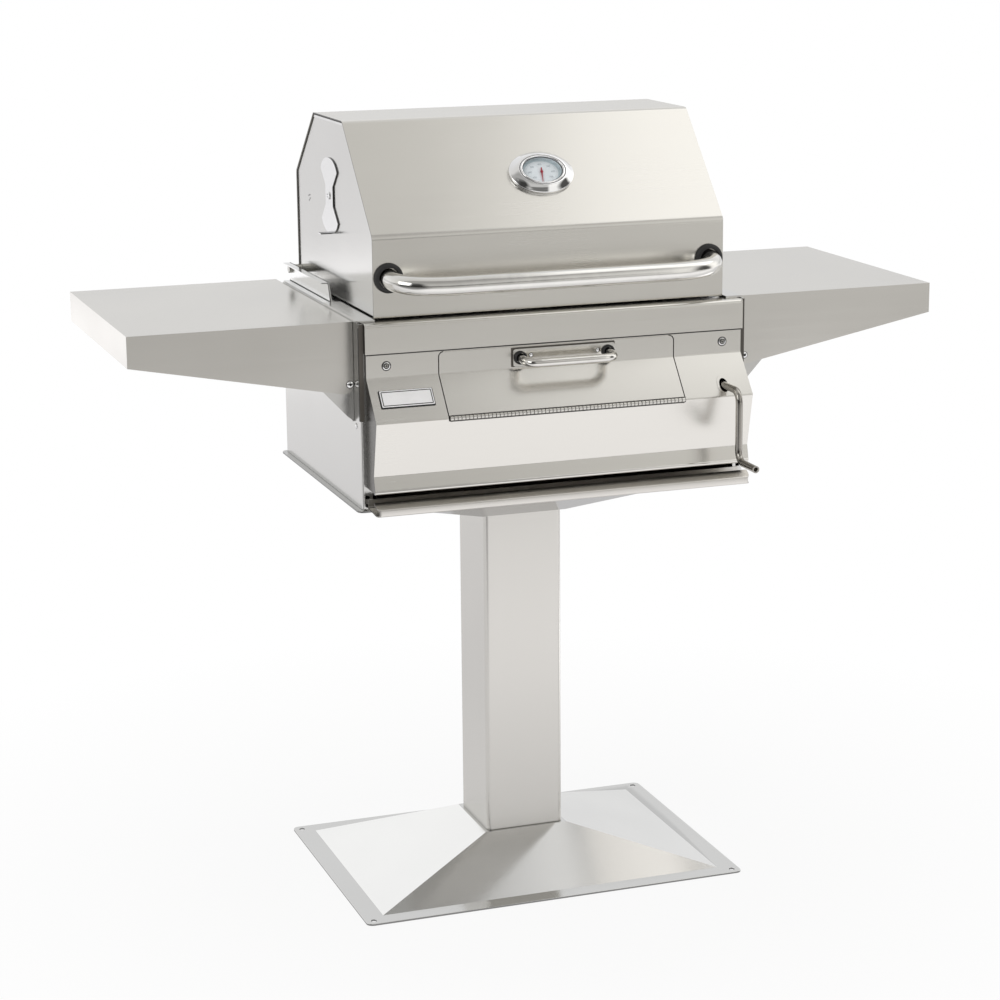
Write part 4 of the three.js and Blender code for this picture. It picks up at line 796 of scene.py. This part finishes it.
BEZEL = [(37.2, 0.35), (50.3, 0.35), (50.6, 0.8), (50.6, 4.2), (50.3, 5.0), (49.6, 5.5), (48.6, 6.0),
         (45.6, 7.9), (42.2, 9.8), (39.0, 11.1), (37.0, 11.6), (36.2, 11.5), (35.7, 10.9), (35.2, 10.9),
         (34.9, 11.7), (34.5, 12.4), (33.8, 12.85), (33.0, 12.98), (32.2, 12.8), (31.6, 12.3), (31.3, 11.6),
         (31.3, 11.35), (37.2, 11.35)]
on_dial("thermometer_bezel", BEZEL, chrome, closed_turned)
LENS = [(0, 9.25), (36.7, 9.25), (36.7, 9.7), (35, 9.95), (28, 10.4), (16, 10.8), (0, 10.95)]
on_dial("thermometer_lens", LENS, glass("Dial_glass"))
on_dial("thermometer_dial", [(0, 0.35), (36.7, 0.35), (36.7, DIAL_FACE), (0, DIAL_FACE)], dial_paint)
piece("dial_well", oval(oblong(31.6, 4.6, 32.4, 9.2)), dial_well_paint, "hood")
TICKS, TICK_SWEEP, TICK_OUTER = 30, 270, 24.4
LONG_TICK, SHORT_TICK = (22.6, 0.26), (23.4, 0.16)
NUMBERS, NUMBER_STEP, NUMBER_CIRCLE = 7, 45, 18.4
FIRST_MARK = 225


def dial_marks():
    """Ticks on an arc that is open at the top, and plain numbers on one that is open at the bottom."""
    bm = bmesh.new()
    lift = Matrix.Translation((0, 0, DIAL_FACE + 0.08))
    for k in range(TICKS + 1):
        a = math.radians(-FIRST_MARK + TICK_SWEEP * k / TICKS)
        inner, width = LONG_TICK if k % 5 == 0 else SHORT_TICK
        out, side = Vector((math.cos(a), math.sin(a))), Vector((-math.sin(a), math.cos(a)))
        corners = [out * far + side * aside for far, aside in oblong(inner, -width, TICK_OUTER, width)]
        extruded([(c.x, c.y * dial_oval) for c in corners], 0.05, DIAL @ lift, bm)
    graph = bpy.context.evaluated_depsgraph_get()
    for k in range(NUMBERS):
        a = math.radians(FIRST_MARK - NUMBER_STEP * k)
        digits = bpy.data.curves.new("number", "FONT")
        digits.body = str(100 * (k + 1))
        digits.size = 4.2
        digits.align_x = digits.align_y = "CENTER"
        word = linked("number", digits)
        graph.update()
        mesh = bpy.data.meshes.new_from_object(word.evaluated_get(graph))
        move = Vector((math.cos(a), math.sin(a) * dial_oval, 0)) * NUMBER_CIRCLE
        mesh.transform(DIAL @ Matrix.Translation(move + Vector((0, 0, DIAL_FACE + 0.1))))
        bm.from_mesh(mesh)
        bpy.data.objects.remove(word)
        bpy.data.meshes.remove(mesh)
    piece("dial_marks", bm, print_grey, "hood")


dial_marks()
# Painted shade: a dark ring in the bezel's groove and one where the bezel meets the glass
groove_shade = oval([(35.0, 10.95), (36.3, 10.95), (36.3, 11.62), (35.0, 11.3)])
oval([(30.1, 10.4), (31.35, 10.4), (31.35, 11.4), (30.1, 10.9)], groove_shade)
piece("bezel_groove_shade", groove_shade, seam_and_shade_dark, "hood")
ring = oval(oblong(26.4, DIAL_FACE + 0.02, 31.5, DIAL_FACE + 0.12))
piece("dial_ring", ring, dial_ring, "hood")


NEEDLE_HALF = [(0.3, -19.5), (0.6, -11), (1.0, -2.2), (1.0, 2.2), (0.8, 7)]
NEEDLE_HUB = [(1.35, 5.2), (2.1, 5.2), (2.2, 5.6), (2.2, 6.3), (2.0, 6.55), (1.35, 6.6)]
NEEDLE_REST = math.radians(-8)


def needle():
    """A pointed needle with a short tail on a round hub."""
    shape = NEEDLE_HALF + [(-x, y) for x, y in NEEDLE_HALF[::-1]]
    turn = DIAL @ Matrix.Rotation(NEEDLE_REST, 4, "Z")
    bm = extruded(shape, 0.8, turn @ Matrix.Translation((0, 0, 5.7)))
    closed_turned(NEEDLE_HUB, 32, DIAL, bm=bm)
    stand_in("needle_pointer", bm, needle_paint, "thermometer_needle")


needle()


# Screws, nuts, the bare name plate, and dark strips and lines of painted shade
PROUD = 0.02
LINE_RIM = 1.5
WASHER = (0.1, 0.5, 0.75)
HEAD_FOOT = 0.8


def disc(bm, matrix, radius, low, high):
    turned([(0, low), (radius, low), (radius, high), (0, high)], 32, matrix, bm=bm)


def dome(bm, matrix, radius, low, high):
    """A rounded head with a small flat top."""
    points = [(radius * math.cos(math.radians(a)), low + (high - low) * math.sin(math.radians(a)))
              for a in range(0, 75, 12)]
    turned([(0, low), *points, (radius * 0.21, high), (0, high)], 32, matrix, bm=bm)


def screw(name, origin, facing, radius, washer, body):
    """A domed head on a washer, with painted shade: a black cross for its recess, and a dark line round the
    washer and round the head.
    """
    matrix = place(origin, *facing)
    # Painted shade round the washer and the head, and in the recess
    shade = bmesh.new()
    disc(shade, matrix, washer + LINE_RIM, PROUD, 0.2)
    disc(shade, matrix, radius + LINE_RIM, 0.7, 0.86)
    top = HEAD_FOOT + radius * 0.5
    for wide, tall in ((1.3, 0.42), (0.42, 1.3)):
        bar = rounded(radius * wide, radius * tall, radius * 0.2, 3)
        extruded(bar, 0.06, matrix @ Matrix.Translation((0, 0, top)), shade)
    piece(name + "_lines", shade, shadow_black, body)
    foot, edge, face = WASHER
    bm = turned([(0, foot), (washer, foot), (washer, edge), (washer - 0.4, face), (0, face)], 32, matrix)
    piece(name + "_washer", bm, bright_plate, body)
    head = bmesh.new()
    dome(head, matrix, radius, HEAD_FOOT, top)
    piece(name, head, screw_steel, body)


def stud(name, origin, facing, radius, body, material, rim=0.0, mark=0.0):
    """A plain domed head, with painted shade where asked for: a dark rim round its foot or a dark mark in its
    middle.
    """
    matrix = place(origin, *facing)
    bm = bmesh.new()
    dome(bm, matrix, radius, PROUD, radius * 0.5)
    piece(name, bm, material, body)
    if rim or mark:
        # Painted shade: a dark rim round the foot and a dark mark in the middle
        shade = bmesh.new()
        if rim:
            disc(shade, matrix, radius + rim, 0.01, 0.12)
        if mark:
            disc(shade, matrix, mark, radius * 0.5 - 0.1, radius * 0.5 + 0.06)
        piece(name + "_lines", shade, shadow_black, body)


def frame_line(bm, matrix, width, height, line, low, high):
    """Four thin bars round a rectangle."""
    half = line / 2
    for x, y, wide, tall in ((0, height / 2, width / 2, half), (0, -height / 2, width / 2, half),
                             (width / 2, 0, half, height / 2), (-width / 2, 0, half, height / 2)):
        move = matrix @ Matrix.Translation((x, y, low))
        extruded(oblong(-wide, -tall, wide, tall), high - low, move, bm)


panel_slope = (panel_face - ridge_face) / (panel_bend - ridge_height)
PLATE_PLACE, PLATE_HEIGHT = -240.6, 814


def on_panel(height):
    """Where the panel's upper slope lies at a height."""
    return ridge_face + (height - ridge_height) * panel_slope


def name_plate():
    """A bare bright plate with a dark edge of painted shadow, shifted left and down, and a thin line inside
    it, on the panel's slope.
    """
    matrix = place((PLATE_PLACE, on_panel(PLATE_HEIGHT), PLATE_HEIGHT), (1, 0, 0), (0, panel_slope, 1))
    plate = extruded(rounded(79, 26.4, 1.2), 0.9, matrix @ Matrix.Translation((0, 0, 0.3)))
    piece("name_plate", plate, plate_silver, "stand")
    shade = bmesh.new()
    # Painted shadow: a dark slab shifted left and down behind the plate
    extruded(rounded(82.2, 29.4, 1.6), 0.5, matrix @ Matrix.Translation((-0.5, -0.7, PROUD)), shade)
    frame_line(shade, matrix, 74.6, 22, 1.3, 1.18, 1.26)
    piece("name_plate_shadow_and_line", shade, shadow_black, "stand")


panel_half = corners_of("front_panel")[1].x - 0.5


def trim_edge_shade():
    """Painted shade: a dark strip between the trim's lower edge and the panel."""
    front, back = panel_face - LINE_GAP, panel_face - 1.2
    bm = along_x([(front, 874.6), (front, 877.6), (back, 877.6), (back, 875.2)], -panel_half, panel_half)
    piece("trim_edge_shade", bm, seam_and_shade_dark, "stand")


def hem_bead():
    """The rolled lower edge of the panel."""
    line = [at(x, lower_bend_face - 3, 680.2) for x in (-panel_half, -150, 0, 150, panel_half)]
    piece("hem_bead", swept(line, 3.4, 24), tube_steel, "stand")


OPENING, SURROUND = (7.1, 9.2), (10.5, 14.2)


def crank_surround():
    """A thin plate that narrows the panel's opening round the crank."""
    bm = bmesh.new()
    rings = []
    for (wide, tall), proud in ((OPENING, 0.1), (OPENING, 0.5), (SURROUND, 0.5), (SURROUND, 0.1)):
        ring = []
        for c, s in circle(48):
            z = crank_height + tall * s
            ring.append(bm.verts.new(at(crank_place + wide * c, on_panel(z) - proud, z)))
        rings.append(ring)
    skinned(bm, [*rings, rings[0]], caps=False)
    piece("crank_surround", bm, panel_steel, "stand")


def plate_shadow():
    """A painted shadow: a dark plate behind the edge of the door handle's plate, wider on the left and at the
    top.
    """
    low, high = corners_of("door_handle_plate")
    wide, tall = high.x - low.x + 3.4, high.z - low.z + 3.0
    matrix = place(((low.x + high.x) / 2 - 0.7, panel_face - PROUD, (low.z + high.z) / 2 + 0.6), *FRONT)
    bm = extruded(rounded(wide, tall, 2.0), 0.2, matrix)
    piece("door_handle_plate_shadow", bm, shade_brown, "charcoal_door")


hem_bead()
crank_surround()
box_low, box_high = corners_of("firebox_side_right")
handle_plate_face = corners_of("door_handle_plate")[0].y
shelf_front = corners_of("shelf_right")[0].y
RIVETS = ((-2.6, 4.2), (3.4, 2.6), (-3.6, -1.2), (1.6, -4.6))
pivot_low, pivot_high = corners_of("damper_pivot_right")
pivot_middle = (pivot_low + pivot_high) / 2
for word, side in SIDES:
    out = RIGHT if side > 0 else LEFT
    screw("panel_screw_" + word, (side * 264, panel_face - PROUD, 858.5), FRONT, 2.9, 5.7, "stand")
    stud("apron_screw_" + word, (side * 313 + 4.5, shelf_front - PROUD, 828), FRONT, 5.0, "stand", chrome,
         0.7, 2.0)
    stud("wall_nut_" + word, (side * (box_high.x + LINE_GAP), -191, 768), out, 3.6, "stand", chrome, 0.6)
    stud("handle_nut_" + word, (door_handle["middle"] + side * 52.5, handle_plate_face - PROUD, 860), FRONT,
         2.8, "charcoal_door", chrome, 0.7)
    for k, (back, rise) in enumerate(RIVETS):
        spot = (side * (hood_panel + PROUD), 145 + back, 1061 + rise)
        stud(f"hood_rivet_{word}_{k}", spot, out, 1.1, "hood", shadow_black)
    for height, rise in (("high", 1.9), ("low", -1.9)):
        spot = (side * (pivot_high.x - LINE_GAP), pivot_middle.y, pivot_middle.z + rise)
        stud(f"damper_dot_{word}_{height}", spot, out, 0.9, word + "_damper", shadow_black)
name_plate()
plate_shadow()
trim_edge_shade()


def side_strips():
    """A sealing strip on each side wall under the hood, and at each shelf painted shade where wall and trim
    meet: a dark strip on the wall and a dark brown one on its front return.
    """
    front, top, wall = box_low.y, box_high.z, box_high.x
    foot = 778
    rest_line = oblong(front + 8, top + 0.2, front + 185, top + 3.4)
    for word, side in SIDES:
        rest = beside(rest_line, side, hood_half + sheet, wall - 0.7)
        piece("hood_rest_" + word, rest, side_steel, "stand")
        # Painted shade in the gap at the wall's front edge and on its return
        gap_shade = beside(oblong(front + 0.2, foot, front + 5, top - 6), side, wall + LINE_GAP, wall + 0.5)
        piece("wall_gap_shade_" + word, gap_shade, seam_and_shade_dark, "stand")
        edge = beside(oblong(front - LINE_GAP, foot, front - 0.4, top - 0.5), side, wall - 6, wall + 0.4)
        piece("wall_return_shade_" + word, edge, shade_brown, "stand")


side_strips()


# Floor, world, lights and camera
def curve(tree, value, points):
    """A grey level that follows (value, level) pairs."""
    low, high = points[0][0], points[-1][0]
    ramp = node(tree, "ShaderNodeValToRGB", Fac=ranged(tree, value, 0, 1, low, high))
    stops = ramp.color_ramp.elements
    for position, level in points[1:-1]:
        stops.new((position - low) / (high - low))
    for position, level in points:
        spot = min(stops, key=lambda stop: abs(stop.position - (position - low) / (high - low)))
        spot.color = (level, level, level, 1)
    return ramp.outputs["Color"]


def blend(tree, factor, first, second):
    """One number blended into another."""
    return node(tree, "ShaderNodeMix", data_type="FLOAT", Factor=factor, A=first, B=second).outputs["Result"]


# What the metal mirrors of the floor: levels along Y, a dark corner, a light far corner and a light patch
FLOOR_HALF = 14
FLOOR_LEVELS = [(-14, 0.54), (-3.8, 0.54), (-2.5, 0.98), (-1.9, 1.1), (-1.1, 1.1), (-0.6, 0.88), (-0.3, 0.8),
                (0.4, 0.78), (1.0, 0.76), (2.6, 0.8), (3.9, 0.88), (4.6, 1.35), (5.6, 1.35), (6.8, 0.82),
                (14, 0.78)]
CORNER_ACROSS, CORNER_ALONG, CORNER_LEVEL = (-1.2, -0.5), (-1.6, -0.9), 0.3
FAR_ACROSS, FAR_ALONG, FAR_LEVEL = (3.6, 5.0), (-7.5, -6.0), 1.8
PATCH_ACROSS = [(-14, 0), (0.5, 0), (0.75, 0.3), (0.92, 0.3), (1.0, 1), (1.5, 1), (1.8, 0), (14, 0)]
PATCH_ALONG = [(-14, 0), (-0.2, 0), (0.05, 1), (0.6, 1), (0.9, 0), (14, 0)]
PATCH_LEVEL = 2.25
FLOOR_TINT_SPAN, FLOOR_FADE = (-4.2, -3.0), (0.4, 1.3)
FLOOR_TINTS = (1.0, 0.985, 0.955), (1.0, 0.99, 1.0)
WHITE = (1.0, 1.0, 1.0)


def floor():
    """A pale floor, white to the camera, with the mirrored levels for glossy rays."""
    mesh = bpy.data.meshes.new("floor")
    bm = bmesh.new()
    outline = oblong(-FLOOR_HALF, -FLOOR_HALF, FLOOR_HALF, FLOOR_HALF)
    bm.faces.new([bm.verts.new((x, y, 0)) for x, y in outline])
    bm.to_mesh(mesh)
    bm.free()
    made = linked("floor", mesh)
    material, tree, shader, coords = fresh("Floor_white")
    fill(tree, shader, Base_Color=(0.92, 0.92, 0.92), Roughness=0.9, Specular_IOR_Level=0.0)
    across, along = separated(tree, coords)[:2]
    mirrored = curve(tree, along, FLOOR_LEVELS)
    corner = ranged(tree, across, 1.0, 0.0, *CORNER_ACROSS), ranged(tree, along, 1.0, 0.0, *CORNER_ALONG)
    far = ranged(tree, across, 0.0, 1.0, *FAR_ACROSS), ranged(tree, along, 1.0, 0.0, *FAR_ALONG)
    patch = curve(tree, across, PATCH_ACROSS), curve(tree, along, PATCH_ALONG)
    for spans, level in ((corner, CORNER_LEVEL), (far, FAR_LEVEL), (patch, PATCH_LEVEL)):
        lift = blend(tree, combined(tree, "MULTIPLY", *spans), 1.0, level)
        mirrored = combined(tree, "MULTIPLY", mirrored, lift)
    to_camera = ray(tree, "Camera")
    near = ranged(tree, along, 0.0, 1.0, *FLOOR_TINT_SPAN)
    tint = mixed(tree, to_camera, mixed(tree, near, *FLOOR_TINTS), WHITE)
    glow = node(tree, "ShaderNodeEmission", Color=tint, Strength=blend(tree, to_camera, mirrored, 1.0))
    length = node(tree, "ShaderNodeVectorMath", operation="LENGTH", Vector=coords).outputs["Value"]
    away = ranged(tree, length, 0.88, 1.0, *FLOOR_FADE)
    direct = [ray(tree, kind) for kind in ("Camera", "Glossy", "Transmission")]
    weight = combined(tree, "MULTIPLY", combined(tree, "MAXIMUM", *direct), away)
    two_shaders(tree, weight, shader.outputs["BSDF"], glow.outputs["Emission"])
    made.data.materials.append(material)


# What the metal mirrors of the room: levels along Y, dark bands by height, dark cards at the sides in front,
# and lighter areas on the right, each by a share of the ray's direction
WALL_LEVELS = [(-1, 0.56), (-0.35, 0.56), (-0.18, 0.70), (0, 0.80), (0.3, 0.90), (0.5, 0.95), (1, 0.95)]
CEILING_LEVELS = [(-1, 0.36), (-0.36, 0.37), (-0.2, 0.68), (0.0, 0.72), (0.3, 0.76), (1, 0.85)]
CEILING_START = (0.45, 0.8)
FRONT_BAND = [(-1, 1), (-0.01, 1), (0.03, 0.3), (0.15, 0.3), (0.23, 1), (1, 1)]
BACK_BAND = [(-1, 1), (0.03, 1), (0.10, 0.78), (0.19, 0.78), (0.28, 1), (1, 1)]
BACK_START = (-0.1, 0.35)
SIDE_CARDS = [(-1, 1), (-0.3, 1), (-0.16, 0), (0.6, 0), (0.74, 1), (1, 1)]
CARD_DEPTH = [(-1, 1), (-0.4, 1), (-0.28, 0), (1, 0)]
CARD_HEIGHT = [(-1, 1), (0.62, 1), (0.74, 0), (1, 0)]
CARD_LEVEL = 0.08
RIGHT_LIFT = [(-1, 0), (0.34, 0), (0.41, 0.9), (1, 0.9)]
RIGHT_LEVEL = 1.85
SLOPE_LIFT = [(-1, 0), (0.36, 0), (0.41, 1), (1, 1)]
SLOPE_DEPTH = [(-1, 1), (-0.32, 1), (-0.25, 0), (1, 0)]
SLOPE_LEVEL = 1.8
ROOM_LIGHT = 0.68
ROOM_TINTS = (1.0, 0.986, 0.96), (0.995, 0.995, 1.0)


def world():
    """White to the camera, an even grey light for matt faces, and the mirrored room for glossy rays."""
    made = bpy.data.worlds.new("Studio")
    bpy.context.scene.world = made
    made.use_nodes = True
    tree = made.node_tree
    across, along, height = separated(tree, node(tree, "ShaderNodeTexCoord").outputs["Generated"])
    back = ranged(tree, along, 0.0, 1.0, *BACK_START)
    front = blend(tree, curve(tree, across, RIGHT_LIFT), curve(tree, height, FRONT_BAND), RIGHT_LEVEL)
    bands = blend(tree, back, front, curve(tree, height, BACK_BAND))
    cards = combined(tree, "MULTIPLY", curve(tree, across, SIDE_CARDS), curve(tree, along, CARD_DEPTH),
                     curve(tree, height, CARD_HEIGHT))
    walls = combined(tree, "MULTIPLY", curve(tree, along, WALL_LEVELS), bands,
                     blend(tree, cards, 1.0, CARD_LEVEL))
    lift = combined(tree, "MULTIPLY", curve(tree, across, SLOPE_LIFT), curve(tree, along, SLOPE_DEPTH))
    above = combined(tree, "MULTIPLY", curve(tree, along, CEILING_LEVELS),
                     blend(tree, lift, 1.0, SLOPE_LEVEL))
    room = blend(tree, ranged(tree, height, 0.0, 1.0, *CEILING_START), walls, above)
    mirrored = combined(tree, "MAXIMUM", ray(tree, "Glossy"), ray(tree, "Transmission"))
    to_camera = ray(tree, "Camera")
    level = combined(tree, "MAXIMUM", blend(tree, mirrored, ROOM_LIGHT, room), to_camera)
    tint = mixed(tree, to_camera, mixed(tree, back, *ROOM_TINTS), WHITE)
    fill(tree, tree.nodes["Background"], Color=tint, Strength=level)


def softbox(name, origin, aim, width, height, power):
    data = bpy.data.lights.new(name, "AREA")
    data.shape = "RECTANGLE"
    data.size, data.size_y, data.energy = width, height, power
    made = linked(name, data)
    made.location = origin
    made.rotation_mode = "QUATERNION"
    made.rotation_quaternion = (Vector(aim) - Vector(origin)).to_track_quat("-Z", "Y")
    made.visible_camera = False


floor()
world()
softbox("Softbox_above", origin=(1.6, -0.35, 2.7), aim=(1.6, -0.35, 0), width=2.0, height=1.4, power=5.6)
softbox("Softbox_left", origin=(-2.4, -1.6, 2.2), aim=(0, 0, 0.8), width=1.6, height=1.6, power=15)
CAMERA_PLACE = (-1330.2, -3741.8, 1554.9)
CAMERA_TURN = (19.36, 13.7, 0.52)
SENSOR = 36
FOCAL_LENGTH = 2.5963 * SENSOR


def camera():
    """The camera at the photograph's place, turned by its yaw, its downward pitch and its roll."""
    yaw, pitch, roll = (math.radians(angle) for angle in CAMERA_TURN)
    ahead = Vector((math.sin(yaw) * math.cos(pitch), math.cos(yaw) * math.cos(pitch), -math.sin(pitch)))
    right = Vector((math.cos(yaw), -math.sin(yaw), 0))
    down = ahead.cross(right)
    across = right * math.cos(roll) + down * math.sin(roll)
    below = down * math.cos(roll) - right * math.sin(roll)
    data = bpy.data.cameras.new("Camera")
    data.sensor_width = SENSOR
    data.lens = FOCAL_LENGTH
    made = linked("Camera", data)
    turn = Matrix((across, -below, -ahead)).transposed().to_4x4()
    made.matrix_world = Matrix.Translation(at(*CAMERA_PLACE)) @ turn
    bpy.context.scene.camera = made


camera()
bpy.context.scene.view_settings.view_transform = "Standard"

# Plainer nodes keep their CAD shape and take a material
LEFT_AS_BUILT = {
    **pair("hood_hinge_bolt", screw_steel), "crank_front_bush": brass, "crank_rear_bush": brass,
    "door_hinge_pin": screw_steel, **pair("cooking_grid", grid_steel), "lift_screw": screw_steel,
    "lift_nut": brass, **pair("damper_pivot", pivot_steel), "thermometer_stem": screw_steel,
}
for name, material in LEFT_AS_BUILT.items():
    for slot in frame["nodes"][name].material_slots:
        slot.material = material

bpy.context.view_layer.update()
